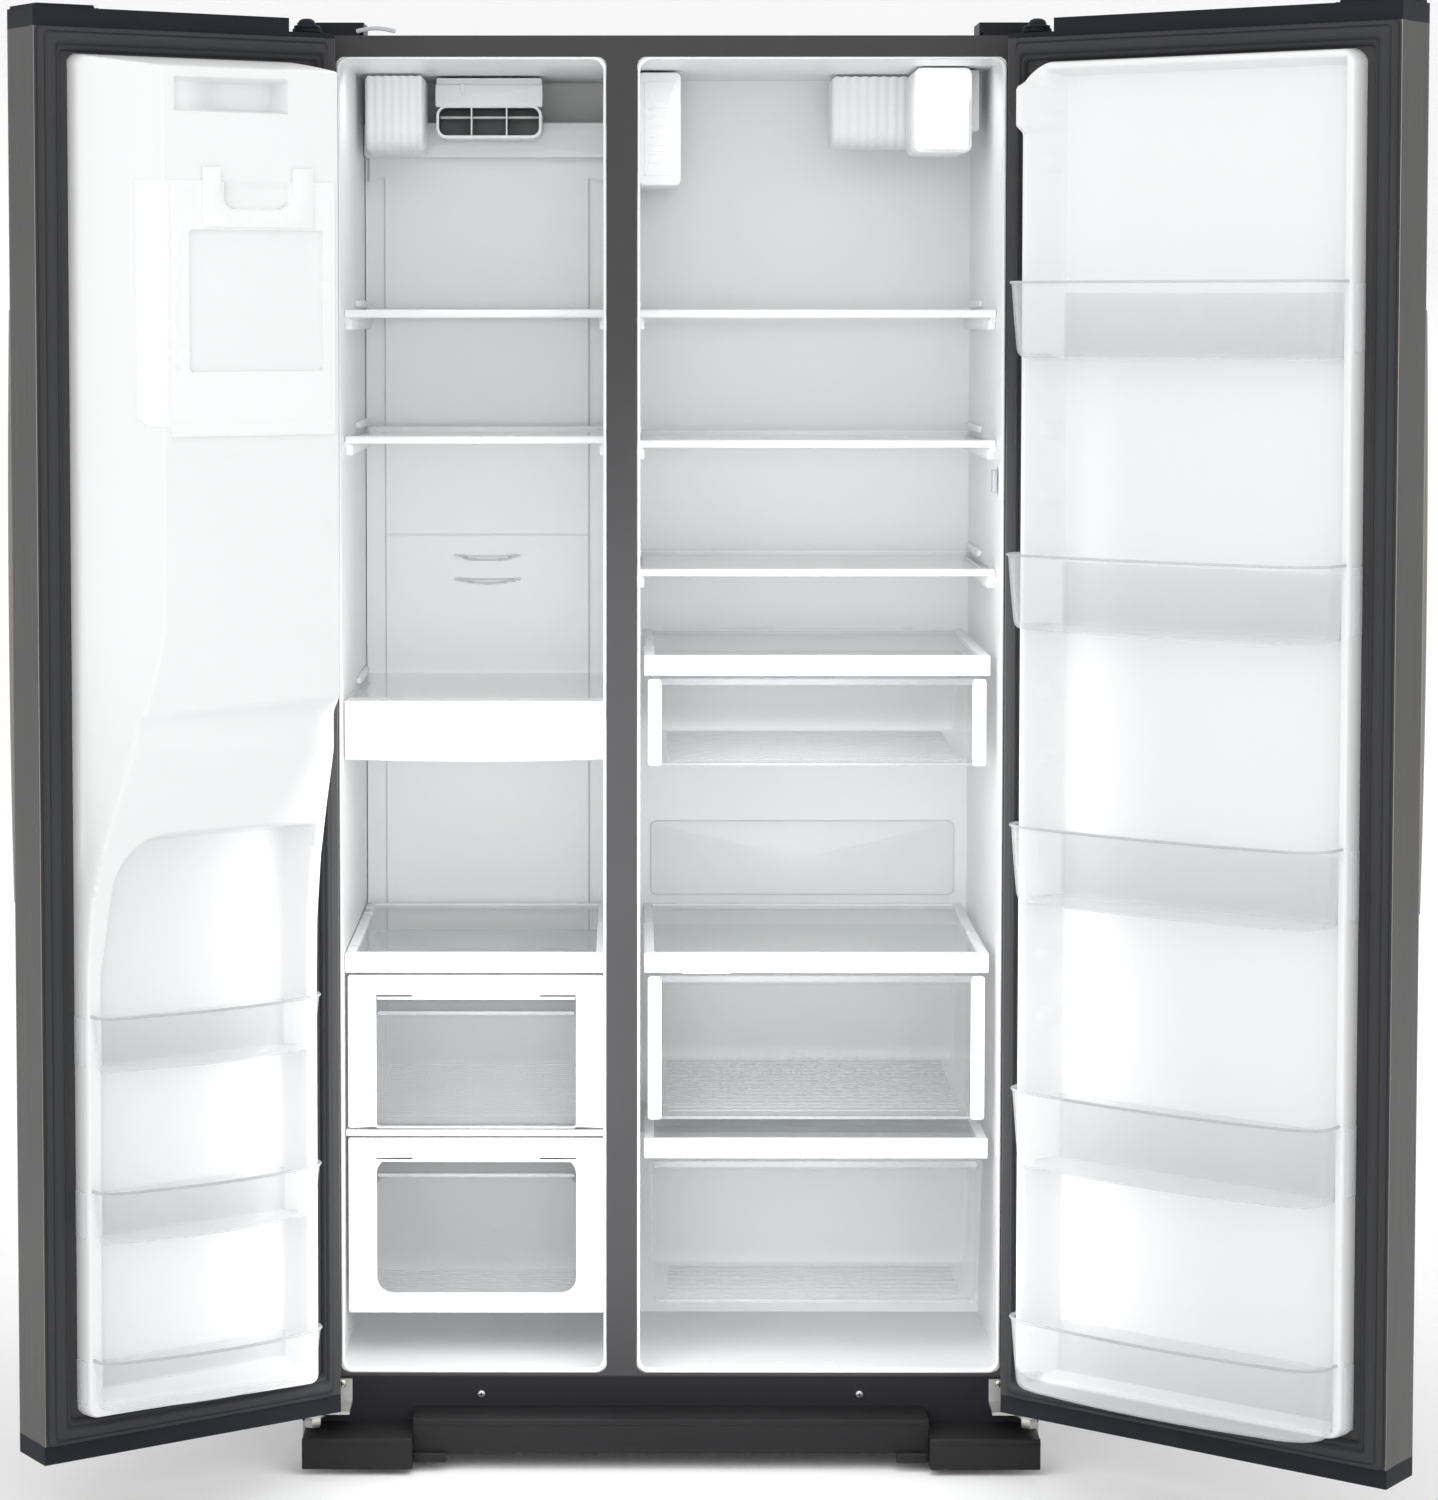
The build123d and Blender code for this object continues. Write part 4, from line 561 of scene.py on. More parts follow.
def freezer_front(u, z):
    """Height of the ice module's front over u and z: flat, then falling past a crease to the free edge."""
    ridge = along_edge(z, FREEZER_RIDGE)
    crease_u = along_edge(z, FREEZER_CREASE_U)
    crease_w = along_edge(z, FREEZER_CREASE_W)
    front = ridge + (crease_w - ridge) * smooth((u - 58.0) / np.maximum(crease_u - 58.0, 1.0)) ** 0.9
    past = np.clip((u - crease_u) / np.maximum(346.0 - crease_u, 4.0), 0.0, 1.0)
    slope = crease_w + (22.0 - crease_w) * past
    blend = smooth((u - crease_u + 7.0) / 14.0)
    return front * (1.0 - blend) + slope * blend


def freezer_door_panel():
    """The freezer door's moulded inner panel: the ice module above, running in one S-shaped sweep into
    the raised border of the recess that holds the bins. It is a height over u and z."""
    door = FREEZER_DOOR
    u = spaced([(52, 0.8), (64, 2.4), (270, 1.4), (292, 2.0), (326, 1.2), (350, 1)], 1.1)
    z = spaced([(129, 0.8), (150, 2.6), (600, 1.4), (830, 2.2), (1050, 3.0), (1625, 1.1), (1705, 1)], 1.6)
    u, z = np.meshgrid(u, z, indexing="ij")
    height = freezer_front(u, z)
    top = 106.0 - 100.0 * np.clip((z - 1688.0) / 17.0, 0.0, 1.0)
    height = np.minimum(height, top)
    height = np.minimum(height, 90.5 + 16.0 * smooth((z - 938.0) / 30.0))
    recess_u = (66.0, along_edge(z, ((100, 334), (640, 332), (735, 324), (800, 320), (1800, 320))))
    arch = 812.0 + 0.0 * u
    inside = np.minimum(np.minimum(u - recess_u[0], recess_u[1] - u), np.minimum(arch - z, z - 146.0))
    corner = np.hypot(np.maximum(u - (recess_u[1] - 62.0), 0.0), np.maximum(z - (arch - 62.0), 0.0))
    inside = np.where((u > recess_u[1] - 62.0) & (z > arch - 62.0), 62.0 - corner, inside)
    sunk = smooth(inside / 16.0)
    height = height * (1.0 - sunk) + 2.5 * sunk
    window = np.minimum(np.minimum(u - 122.0, 268.0 - u), np.minimum(z - 1637.0, 1677.0 - z))
    height = height - 34.0 * smooth(window / 5.0) * (0.35 + 0.65 * smooth((250.0 - u) / 60.0))
    seam = np.abs(z - (1241.0 + 0.004 * (u - 200.0)))
    height = height - 0.9 * bump(seam, 2.6) * (u > 60.0)
    depth = corner_depth(u, z, (52.0, 350.0), (129.0, 1705.0), 14.0)
    rise = np.sqrt(np.clip(1.0 - (1.0 - np.clip(depth / 5.0, 0.0, 1.0)) ** 2, 0.0, 1.0))
    height = -1.0 + (height + 1.0) * rise
    opening = (u > 66.0) & (u < 272.0) & (z > 1268.0) & (z < 1556.0)
    height = np.where(opening, height - 2.5, height)
    return piece("freezer_door_panel", [(door.place(u, height, z), False)], [liner_white], "freezer_door",
                 stands_for=("freezer_door_liner", "ice_module"), angle=60.0,
                 closed=False,
                 flip=False)


def seal(door, name):
    """A door's magnetic seal: a ribbed profile carried round a rounded rectangle."""
    profile = np.array([(0.0, 0.0), (0.2, 4.0), (1.6, 7.4), (3.2, 8.6), (5.4, 9.2), (6.6, 8.0), (7.6, 8.4),
                        (9.6, 12.4),
                        (12.0, 13.3), (16.0, 13.4), (18.4, 12.4), (19.6, 9.0), (21.0, 7.6), (22.8, 8.6),
                        (24.6, 8.0),
                        (26.6, 4.6), (27.8, 1.0), (27.8, 0.0)])
    spans = np.array([[13.0, door.width - 4.0], [DOOR_LOW + CAP, DOOR_HIGH - CAP]])
    turn = np.linspace(0.0, pi / 2, 5)
    rows = []
    for across, height in profile:
        hinge = across * 0.5
        x0, x1 = spans[0][0] + hinge, spans[0][1] - across
        y0, y1 = spans[1][0] + across, spans[1][1] - across
        loop = []
        radius = 5.0
        for cx, cy, start in ((x1 - radius, y1 - radius, 0.0), (x0 + radius, y1 - radius, pi / 2),
                              (x0 + radius, y0 + radius, pi), (x1 - radius, y0 + radius, 1.5 * pi)):
            loop.append(np.stack([cx + radius * np.cos(start + turn), cy + radius * np.sin(start + turn)],
                                 axis=1))
        loop = np.concatenate(loop)
        rows.append(np.column_stack([loop, np.full(len(loop), height)]))
    grid = np.stack(rows + [rows[0]])
    points = door.place(grid[..., 0], grid[..., 2], grid[..., 1])
    return piece(name + "_seal", [(points, True)], [seal_grey], name, stands_for=(name + "_gasket",),
                 angle=50.0)


def door_lip(door, name):
    """The dark lip round a door's inner face that the seal sits on, with a steel fold at its free edge whose
    paler handle steel is a painted highlight line.
    """
    parts = [(*block((1.25, door.width - 1.25), (-3.0, 0.0), (DOOR_LOW + CAP, DOOR_HIGH - CAP), 0.4, 0.2,
                     door.place, 2), 0),
             # The fold at the free edge: a real fold, made in handle steel paler than the door skin as a
             # painted highlight line.
             (*block((door.width - 1.9, door.width - 0.1), (-1.2, 0.5), (DOOR_LOW + CAP, DOOR_HIGH - CAP),
                     0.6, 0.3,
                     door.place, 2), 1)]
    return piece(name + "_lip", parts, [frame_charcoal, handle_steel], name,
                 angle=40.0)


def bin_outline(door, reach, shrink, steps=9):
    """The plan of a door bin from back to back: straight sides, wide round corners and a crowned front."""
    u0, u1 = 50.0 + shrink, door.width - 50.0 - shrink
    front = reach - shrink * 0.7
    round_hinge, round_free = 40.0, 58.0
    turn = np.linspace(0.0, pi / 2, steps)
    low_w = min(front - round_hinge, 64.0)
    hinge = np.array([(u0 + 16.0, 6.0), (u0 + 14.5, 26.0), (u0 + 6.0, min(50.0, low_w)),
                      (u0, max(low_w, 20.0))])
    bend_a = np.stack([u0 + round_hinge * (1 - np.cos(turn)),
                       front - 10.0 - round_hinge * 0.62 * (1 - np.sin(turn))], axis=1)
    across = np.linspace(0.0, 1.0, 15)[1:-1]
    crown = np.stack([u0 + round_hinge + (u1 - round_free - u0 - round_hinge) * across,
                      front - 10.0 + 10.0 * (1 - (2 * across - 1) ** 2)], axis=1)
    bend_b = np.stack([u1 - round_free * (1 - np.sin(turn)),
                       front - 10.0 - (front - 26.0) * 0.55 * (1 - np.cos(turn))], axis=1)
    free = np.array([(u1 + 1.0, max(22.0, front * 0.3)), (u1 + 2.0, 6.0)])
    return np.concatenate([hinge, bend_a[1:], crown, bend_b, free])


def door_bin(door, name, low, height, reach):
    """A clear bin: a tapered wall on the bin's plan, with a thick rim, a floor and a bracket at each end."""
    levels = np.array([0.0, 2.0, 6.0, 12.0, height * 0.5, height - 5.0, height - 1.5, height])
    shrink = np.array([14.0, 9.0, 6.5, 5.5, 3.0, 0.6, 0.0, 0.0])
    outer = [np.column_stack([bin_outline(door, reach, s), np.full(len(bin_outline(door, reach, s)),
            low + lift)])
             for lift, s in zip(levels, shrink)]
    wall = np.array([2.6, 2.6, 2.6, 2.6, 2.4, 2.2, 3.4, 3.0])
    inner = []
    for ring, thick, lift in zip(outer, wall, levels):
        run = np.gradient(ring[:, :2], axis=0)
        out = np.stack([-run[:, 1], run[:, 0]], axis=1)
        out /= np.linalg.norm(out, axis=1, keepdims=True)
        moved = ring.copy()
        moved[:, :2] -= thick * out
        moved[:, 2] = np.maximum(ring[:, 2], low + 3.0) if lift < 3.0 else ring[:, 2]
        inner.append(moved)
    floor_out = outer[0].copy()
    floor_out[:, 1] = 6.0
    floor_in = inner[0].copy()
    floor_in[:, 1] = 6.0
    rings = np.stack([floor_out] + outer + inner[::-1] + [floor_in])
    shell = door.place(rings[..., 0], rings[..., 1], rings[..., 2])
    parts = [(shell, False, 0)]
    rim = np.column_stack([bin_outline(door, reach, -0.2), np.full(len(bin_outline(door, reach, -0.2)),
            low + height)])
    rail = door.place(rim[:, 0], rim[:, 1], rim[:, 2]) / MM
    parts.append((*tube(rail, 1.9, sides=6), 1))
    back_u = np.linspace(bin_outline(door, reach, 6.0)[0, 0], bin_outline(door, reach, 6.0)[-1, 0], 3)
    for lift, deep in ((low, height * 0.86),):
        c, s = block((back_u[0], back_u[-1]), (4.5, 7.0), (lift, lift + deep), 1.0, 0.6, door.place, 2)
        parts.append((c, s, 0))
    end = bin_outline(door, reach, 0.0)
    for u_low, u_high in ((end[-1, 0] - 1.0, end[-1, 0] + 9.0), (end[0, 0] - 6.0, end[0, 0] + 3.0)):
        c, s = block((u_low, u_high), (3.0, 24.0), (low + height * 0.10, low + height - 2.0), 2.0, 0.8,
                     door.place, 2)
        parts.append((c, s, 0))
    c, s = block((end[-1, 0] - 3.0, end[-1, 0] - 0.8), (18.0, 26.0),
                 (low + height * 0.12, low + height - 5.0), 0.8, 0.4, door.place, 2)
    parts.append((c, s, 1))
    return piece(name, parts, [clear_plastic, clear_rim],
                 "fridge_door" if door is FRIDGE_DOOR else "freezer_door",
                 angle=40.0)


def door_bins():
    """The five bins of the fridge door and the three of the freezer door."""
    fridge = ((1357.0, 88.0, 104.0), (1039.0, 88.0, 108.0), (716.0, 91.0, 98.0), (400.0, 92.0, 91.5),
              (132.0, 86.0, 91.5))
    freezer = ((536.0, 65.0, 72.0), (336.0, 62.0, 72.0), (140.0, 60.0, 72.0))
    for number, size in enumerate(fridge):
        made = door_bin(FRIDGE_DOOR, f"fridge_bin_{number + 1}", *size)
        if number == 0:
            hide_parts("fridge_door_bins")
    for number, size in enumerate(freezer):
        made = door_bin(FREEZER_DOOR, f"freezer_bin_{number + 1}", *size)
        if number == 0:
            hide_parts("freezer_door_bins")


def door_handle(door, name):
    """A bowed bar handle: an oval section carried along the bow, on two swept feet."""
    u = door.width - 30.0
    t = np.linspace(0.0, 1.0, 41)
    z = 700.0 + 730.0 * t
    w = -DOOR_THICK - 34.0 - 9.0 * (1.0 - (2.0 * t - 1.0) ** 2)
    turn = np.linspace(0.0, tau, 20, endpoint=False)
    shape = np.stack([np.sign(np.cos(turn)) * np.abs(np.cos(turn)) ** 0.7 * 10.0,
                      np.sign(np.sin(turn)) * np.abs(np.sin(turn)) ** 0.7 * 6.5], axis=1)
    ease = np.sqrt(np.clip(1 - (1 - np.clip(np.minimum(t, 1 - t) / 0.012, 0, 1)) ** 2, 0.0, 1.0))
    ease[0] = ease[-1] = 0.0
    grid_u = u + shape[None, :, 0] * ease[:, None]
    grid_w = w[:, None] + shape[None, :, 1] * ease[:, None]
    grid_z = np.repeat(z[:, None], len(turn), axis=1)
    parts = [(door.place(grid_u, grid_w, grid_z), True)]
    for foot in (734.0, 1396.0):
        steps = np.linspace(0.0, 1.0, 7)
        depth = -DOOR_THICK + 0.5 - 34.0 * steps
        flare = 1.0 + 0.35 * (1.0 - steps) ** 2
        ring = round_loop(-7.0, 7.0, -17.0, 17.0, 6.0, 4)
        fu = u + ring[None, :, 0] * flare[:, None]
        fz = foot + ring[None, :, 1] * flare[:, None]
        fw = np.repeat(depth[:, None], len(ring), axis=1)
        ends = [np.full((1, len(ring)), v) for v in (u, foot)]
        fu = np.concatenate([ends[0], fu, ends[0]])
        fz = np.concatenate([ends[1], fz, ends[1]])
        fw = np.concatenate([fw[:1], fw, fw[-1:]])
        parts.append((door.place(fu, fw, fz), True))
    return piece(name + "_bar", parts, [handle_steel], name, stands_for=(name + "_handle",),
                 angle=40.0)


def ice_bin_front():
    """The ice bin's front: a panel that follows the module's front, with a sunk window and a latch pocket,
    both darkened with painted shade.
    """
    door = FREEZER_DOOR
    u = spaced([(60, 1.0), (82, 2.0), (240, 1.0), (306, 1)], 1.3)
    z = spaced([(1266, 1.0), (1300, 2.2), (1340, 1.2), (1350, 2.2), (1490, 1.0), (1561, 1)], 1.4)
    u, z = np.meshgrid(u, z, indexing="ij")
    step = 1267.0 + 12.0 * smooth((u - 272.0) / 5.0) + 8.0 * smooth((u - 296.0) / 6.0)
    z = step + (z - 1266.0) * (1561.0 - step) / 295.0
    height = freezer_front(u, z) + 2.6
    edge = np.minimum(np.minimum(u - 60.0, 306.0 - u), np.minimum(z - step, 1561.0 - z))
    drop = np.sqrt(np.clip(1.0 - (1.0 - np.clip(edge / 3.0, 0.0, 1.0)) ** 2, 0.0, 1.0))
    sunk = corner_depth(u, z, (79.0, 250.0), (1344.0, 1503.0), 4.0)
    hole = corner_depth(u, z, (124.0, 205.0), (1529.0, 1575.0), 14.0)
    frame_line = np.minimum(np.minimum(u - 66.0, 274.0 - u), np.minimum(z - 1284.0, 1800.0 - z))
    height = height - 0.5 * bump(frame_line, 2.0) - 74.0 * smooth((sunk + 0.6) / 1.6) - 26.0 * smooth((hole
            + 0.6) / 2.0)
    height = height - 6.0 * (1.0 - drop)
    # Faces in the sunk window take the grey and faces in the finger hole take black: painted shade in both
    # hollows.
    finish_of = np.where(sunk > 0.9, 1, 0) + np.where(hole > 0.9, 2, 0)
    grid = door.place(u, height, z)
    made = piece("ice_bin_front", [(grid, False, finish_of[:-1, :-1].ravel())],
                 [trim_white, ice_bin_shade_grey, cap_black], "ice_bin",
                 stands_for=("ice_bin",), angle=50.0, closed=False, flip=False)
    return made


def ice_bin_details():
    """The bent wire, hook and bar seen in the ice bin, and its tray edge."""
    door = FREEZER_DOOR
    def wire(points):
        return door.place([p[0] for p in points], [p[1] for p in points], [p[2] for p in points]) / MM
    bend = wire([(214, 60, 1442), (214, 60, 1428), (215, 60, 1414), (219, 60, 1406), (228, 60, 1396),
                 (240, 60, 1384), (249, 60, 1376)])
    hook = wire([(248, 56, 1360), (240, 56, 1360), (234, 56, 1358), (230, 56, 1353), (229, 56, 1346)])
    bar = wire([(113, 74, 1502), (113, 74, 1488), (113, 74, 1472), (112, 74, 1466)])
    parts = [tube(bend, 3.4, 10), tube(hook, 4.5, 10), tube(bar, 2.6, 8)]
    parts.append(block((150.0, 249.0), (36.0, 62.0), (1489.0, 1503.0), 2.0, 1.2, door.place, 3))
    piece("ice_bin_wires", parts, [button_grey], "ice_bin", angle=45.0)


def ice_latch():
    """The latch plate in the ice bin's face, notched round a finger hole."""
    door = FREEZER_DOOR
    outer = np.array([(91, 1575), (91, 1546), (91, 1506.5), (133, 1506.5), (196, 1506.5), (234, 1506.5),
                      (234, 1546), (234, 1575)], float)
    inner = np.array([(118, 1575), (118, 1546), (124, 1532), (133, 1526), (196, 1526), (205, 1532),
                      (211, 1546), (211, 1575)], float)
    soft = outer + (inner - outer) * 0.06
    lip = inner + (outer - inner) * 0.06
    rings = [(outer, 106.5), (outer, 110.8), (soft, 111.6), (lip, 111.6), (inner, 110.8), (inner, 106.5)]
    grid = np.stack([door.place(edge[:, 0], w, edge[:, 1]) for edge, w in rings], axis=1)
    ends = [np.broadcast_to(grid[i].mean(axis=0), (1, len(rings), 3)) for i in (0, -1)]
    parts = [(np.concatenate([ends[0], grid, ends[1]]), True)]
    piece("ice_latch_plate", parts, [trim_white], "ice_bin_latch", stands_for=("ice_bin_latch",),
          angle=30.0)


fridge_door_panel()
freezer_door_panel()
for each_door, each_name in ((FREEZER_DOOR, "freezer_door"), (FRIDGE_DOOR, "fridge_door")):
    seal(each_door, each_name)
    door_lip(each_door, each_name)
door_bins()
door_handle(FREEZER_DOOR, "freezer_door")
door_handle(FRIDGE_DOOR, "fridge_door")
ice_bin_front()
ice_bin_details()
ice_latch()


# ---------------------------------------------------------------- inside the compartments


def lamp_lens(name, x, y, z, ribs, finish_of):
    """A ribbed lamp cover under the ceiling: round at its front and lower edges, waved into ribs across."""
    across = np.linspace(0.0, 1.0, 2 + ribs * 6)
    turn = np.linspace(0.0, pi / 2, 9)
    reach = min(26.0, z[1] - z[0] - 4.0)
    outline = [(y[1], z[1]), (y[1], z[0])]
    front = [(y[0] + reach * (1 - np.sin(t)), z[0] + reach * (1 - np.cos(t))) for t in turn]
    outline += front + [(y[0], z[1])]
    outline = np.array(outline)
    wave = 1.6 * np.abs(np.sin(pi * ribs * across)) * smooth(across / 0.06) * smooth((1.0 - across) / 0.06)
    centre = outline.mean(axis=0)
    out = outline - centre
    out /= np.linalg.norm(out, axis=1, keepdims=True)
    inset = 5.0 * (1.0 - np.sqrt(np.clip(1 - (1 - np.clip(np.minimum(across, 1 - across) / 0.06, 0,
                                                          1)) ** 2, 0, 1)))
    rows = outline[None] - out[None] * (1.6 + inset[:, None, None] - wave[:, None, None])
    grid = xyz(x[0] + (x[1] - x[0]) * across[:, None], rows[..., 0], rows[..., 1])
    ends = [np.broadcast_to(grid[i].mean(axis=0), (1, len(outline), 3)) for i in (0, -1)]
    return piece(name, [(np.concatenate([ends[0], grid, ends[1]]), True)], [finish_of], "cabinet",
                 angle=50.0)


def lamp_lenses():
    """Both ceiling lamps, and the low lamp panel behind the drawers."""
    first = lamp_lens("freezer_lamp", (-394.0, -318.0), (330.0, 440.0), (1618.0, 1716.0), 7, lamp_soft)
    lamp_lens("fridge_lamp", (212.0, 324.0), (350.0, 440.0), (1624.0, 1716.0), 9, lamp_soft)
    panel = block((-22.0, 388.0), (622.0, 722.0), (495.0, 500.0), 8.0, 1.5, facing, 5)
    piece("fridge_lamp_panel", [panel], [lamp_soft], "cabinet")
    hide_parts("light_lenses")


def fan_duct():
    """The freezer's air outlet, a housing with rounded lower corners, a flap above and three deep mouths
    below, and the fridge's air box beside the wall."""
    x0, x1, y0, y1 = -304.0, -166.0, 380.0, 456.0
    parts = [block((x0, x1), (1681.0, 1716.0), (y0 + 2.0, y1), 3.0, 1.2, facing, 3)]
    parts.append(block((x0 - 1.0, x1 + 1.0), (1678.0, 1707.0), (y0 - 1.5, y0 + 3.0), 2.0, 1.0, facing, 3))
    outer = round_loop(x0, x1, 1637.0, 1680.0, 13.0, 6)
    inner = round_loop(x0 + 3.5, x1 - 3.5, 1641.0, 1677.0, 10.0, 6)
    rows = [(outer, y1), (outer, y0 + 1.5), (outer * 0.997 + 0.003 * outer.mean(axis=0), y0), (inner, y0),
            (inner, y0 + 60.0)]
    grid = np.stack([xyz(loop[:, 0], y, loop[:, 1]) for loop, y in rows])
    back = np.broadcast_to(grid[-1].mean(axis=0), grid[-1].shape)[None]
    # The rows inside the mouths take the dark grey: painted shade in the deep mouths.
    deep = np.repeat([0, 0, 0, 1, 1], grid.shape[1])
    parts.append((np.concatenate([grid, back]), True, deep))
    for share in (1 / 3, 2 / 3):
        x = x0 + (x1 - x0) * share
        parts.append(block((x - 0.9, x + 0.9), (1641.0, 1677.0), (y0 + 0.6, y0 + 58.0), 0.5, 0.3, facing,
                           2))
    parts.append(block((x0 + 4.0, x1 - 4.0), (1664.0, 1667.0), (y0 + 24.0, y0 + 40.0), 1.0, 0.5, facing, 2))
    parts.append(block((-272.0, -267.0), (1694.0, 1709.0), (y0 - 2.8, y0 - 1.0), 1.0, 0.5, facing, 2))
    piece("freezer_air_outlet", parts, [duct_white, painted_shade_grey], "cabinet", stands_for=("air_ducts",),
          angle=40.0)
    face = [block((-40.0, 15.0), (1572.0, 1716.0), (264.0, 480.0), 7.0, 2.5, facing, 5)]
    face.append(block((-32.0, 8.0), (1584.0, 1704.0), (262.6, 265.0), 3.0, 0.9, facing, 3))
    for z in np.arange(1600.0, 1668.0, 11.0):
        face.append(block((-26.0, 2.0), (z, z + 4.0), (261.4, 263.4), 1.8, 0.6, facing, 3))
    piece("fridge_air_box", face, [trim_white], "cabinet", angle=40.0)


def evaporator_cover_face():
    """The freezer's rear cover: a panel with side channels that round off at the top, two smiling air slots
    and a seam; it is a height towards the front over x and z, with a ledge above."""
    left, right = -405.0, -79.5
    x = spaced([(left, 3.0), (-384.0, 1.0), (-370.0, 6.0), (-114.0, 1.0), (-100.0, 3.0), (right, 1)], 1.0)
    z = spaced([(331.0, 14.0), (1020.0, 1.6), (1100.0, 10.0), (1105.0, 1.2), (1118.0, 20.0), (1560.0, 1.6),
                (1612.0, 3.0), (1619.0, 1)], 1.2)
    x, z = np.meshgrid(x, z, indexing="ij")
    side = np.minimum(x - left, right - x)
    channel = smooth((27.0 - side) / 2.0) * smooth((1592.0 - z) / 6.0 + 0.9 * smooth((side - 4.0) / 23.0)
                                                   - 0.9)
    depth = 492.6 + 0.0 * x - 6.0 * (1.0 - channel) * smooth((side - 2.0) / 4.0)
    centre = (left + right) / 2
    for level in (1083.0, 1052.0):
        dip = 5.0 * (1.0 - ((x - centre) / 43.0) ** 2)
        near = np.abs(z - (level - dip * 0.9))
        width = 3.4 * np.sqrt(np.clip(1.0 - ((x - centre) / 44.0) ** 2, 0.0, 1.0))
        cut = smooth((width - near) / 1.4) * (np.abs(x - centre) < 44.0)
        depth = depth + 8.0 * cut
    seam = smooth((1.4 - np.abs(z - 1111.0)) / 1.0) * smooth((side - 27.0) / 1.0)
    depth = depth + 1.4 * seam
    grid = xyz(x, np.minimum(depth, 500.0), z)
    # Faces sunk into the air slots take black: painted shade inside the slots.
    sunk = ((depth > 496.0)[:-1, :-1] | (depth > 496.0)[1:, 1:]).astype(int)
    made = piece("freezer_rear_cover", [(grid, False, sunk.ravel())], [liner_white, cap_black], "cabinet",
                 stands_for=("evaporator_cover",),
                 angle=40.0, closed=False, flip=True)
    shelf = [block((left, right), (1615.0, 1662.0), (459.0, 495.0), 6.0, 3.0, facing, 4)]
    piece("freezer_rear_ledge", shelf, [liner_white], "cabinet")
    # Dark plates just behind the air slots: painted shade inside them.
    dark = [block((centre - 40.0, centre + 40.0), (level - 9.0, level + 1.0), (499.0, 501.0), 3.0, 0.4,
                  facing, 3)
            for level in (1083.0, 1052.0)]
    piece("rear_slot_shade", dark, [cap_black], "cabinet")
    return made


def wall_bumps():
    """The moulded rests on the side walls that the shelves slide on, each a low rounded block with a lip."""
    parts = []
    for opening, levels, depth in ((FREEZER_X, (1411.0, 1254.0, 922.0), 360.0),
                                   (FRIDGE_X, (1411.0, 1249.0, 1088.0), 360.0)):
        for level in levels:
            for wall, way in ((opening[0], 1), (opening[1], -1)):
                low, high = sorted((wall + way * 0.05, wall + way * 9.5))
                parts.append(block((130.0, 112.0 + depth), (level - 23.0, level - 8.0), (low, high), 5.0,
                                   1.5, sideways, 4))
                low, high = sorted((wall + way * 0.05, wall + way * 6.0))
                parts.append(block((300.0, 466.0), (level + 5.0, level + 14.0), (low, high), 3.5, 1.2,
                                   sideways, 4))
    piece("shelf_rests", parts, [liner_white], "cabinet")


def shelf_fittings():
    """Front strips of the shelves, rounded along the front, with a lip under the glass and a bar at the back.
    """
    parts = []
    for opening, levels in ((FREEZER_X, (1411.0, 1254.0)), (FRIDGE_X, (1411.0, 1249.0, 1088.0))):
        for level in levels:
            x = (opening[0] + 1.0, opening[1] - 1.0)
            parts.append(block((112.0, 124.0), (level - 7.0, level + 2.0), x, 3.6, 0.8, sideways, 5))
            parts.append(block((124.0, 132.0), (level - 8.0, level - 4.3), x, 1.2, 0.5, sideways, 2))
            parts.append(block((472.0, 482.0), (level - 5.5, level + 3.0), (x[0] + 4.0, x[1] - 4.0), 2.4,
                               0.8, sideways, 3))
    piece("shelf_strips", parts, [trim_white], "cabinet", stands_for=("shelf_trims",))


def lit_fascia():
    """The freezer's lit fascia: a tall white strip with rounded edges whose lower edge bows down a little."""
    x0, x1 = FREEZER_X[0] + 1.5, FREEZER_X[1] - 1.5
    u = np.linspace(0.0, 1.0, 25)
    bow = 3.0 * (1.0 - (2.0 * u - 1.0) ** 2)
    profile = [(140.0, 926.0), (92.0, 926.0), (83.0, 927.0), (80.0, 923.0), (80.0, 912.0), (80.0, 880.0),
               (80.5, 862.0),
               (84.0, 855.0), (92.0, 853.0), (138.0, 853.0), (140.0, 856.0)]
    rows = []
    for share, drop in zip(u, bow):
        ring = np.array(profile)
        low = smooth((900.0 - ring[:, 1]) / 40.0)
        rows.append(np.column_stack([np.full(len(ring), x0 + (x1 - x0) * share), ring[:, 0],
                                     ring[:, 1] - drop * low + 0.2]))
    grid = np.stack(rows) * MM
    ends = [np.broadcast_to(grid[i].mean(axis=0), (1, len(profile), 3)) for i in (0, -1)]
    made = piece("freezer_lamp_fascia", [(np.concatenate([ends[0], grid, ends[1]]), True)], [lamp_soft],
                 "cabinet",
                 stands_for=("freezer_light_fascia",), angle=35.0)
    top = [block((80.2, 92.0), (925.0, 928.0), (x0, x1), 1.2, 0.5, sideways, 2)]
    piece("freezer_lamp_fascia_edge", top, [trim_white], "cabinet")
    return made


def cover_frame(x, level, depth, height):
    """One drawer cover: a rounded front strip, side rails and a rear bar."""
    front, back = 80.0, 80.0 + depth
    parts = [block((front, front + 12.0), (level - height, level), x, 4.0, 1.0, sideways, 5),
             block((back - 12.0, back), (level - 9.0, level), x, 3.0, 1.0, sideways, 3)]
    for low, high in ((x[0], x[0] + 13.0), (x[1] - 13.0, x[1])):
        parts.append(block((low, high), (level - 9.5, level), (front + 10.0, back - 8.0), 2.5, 0.8, facing,
                           3))
    return parts


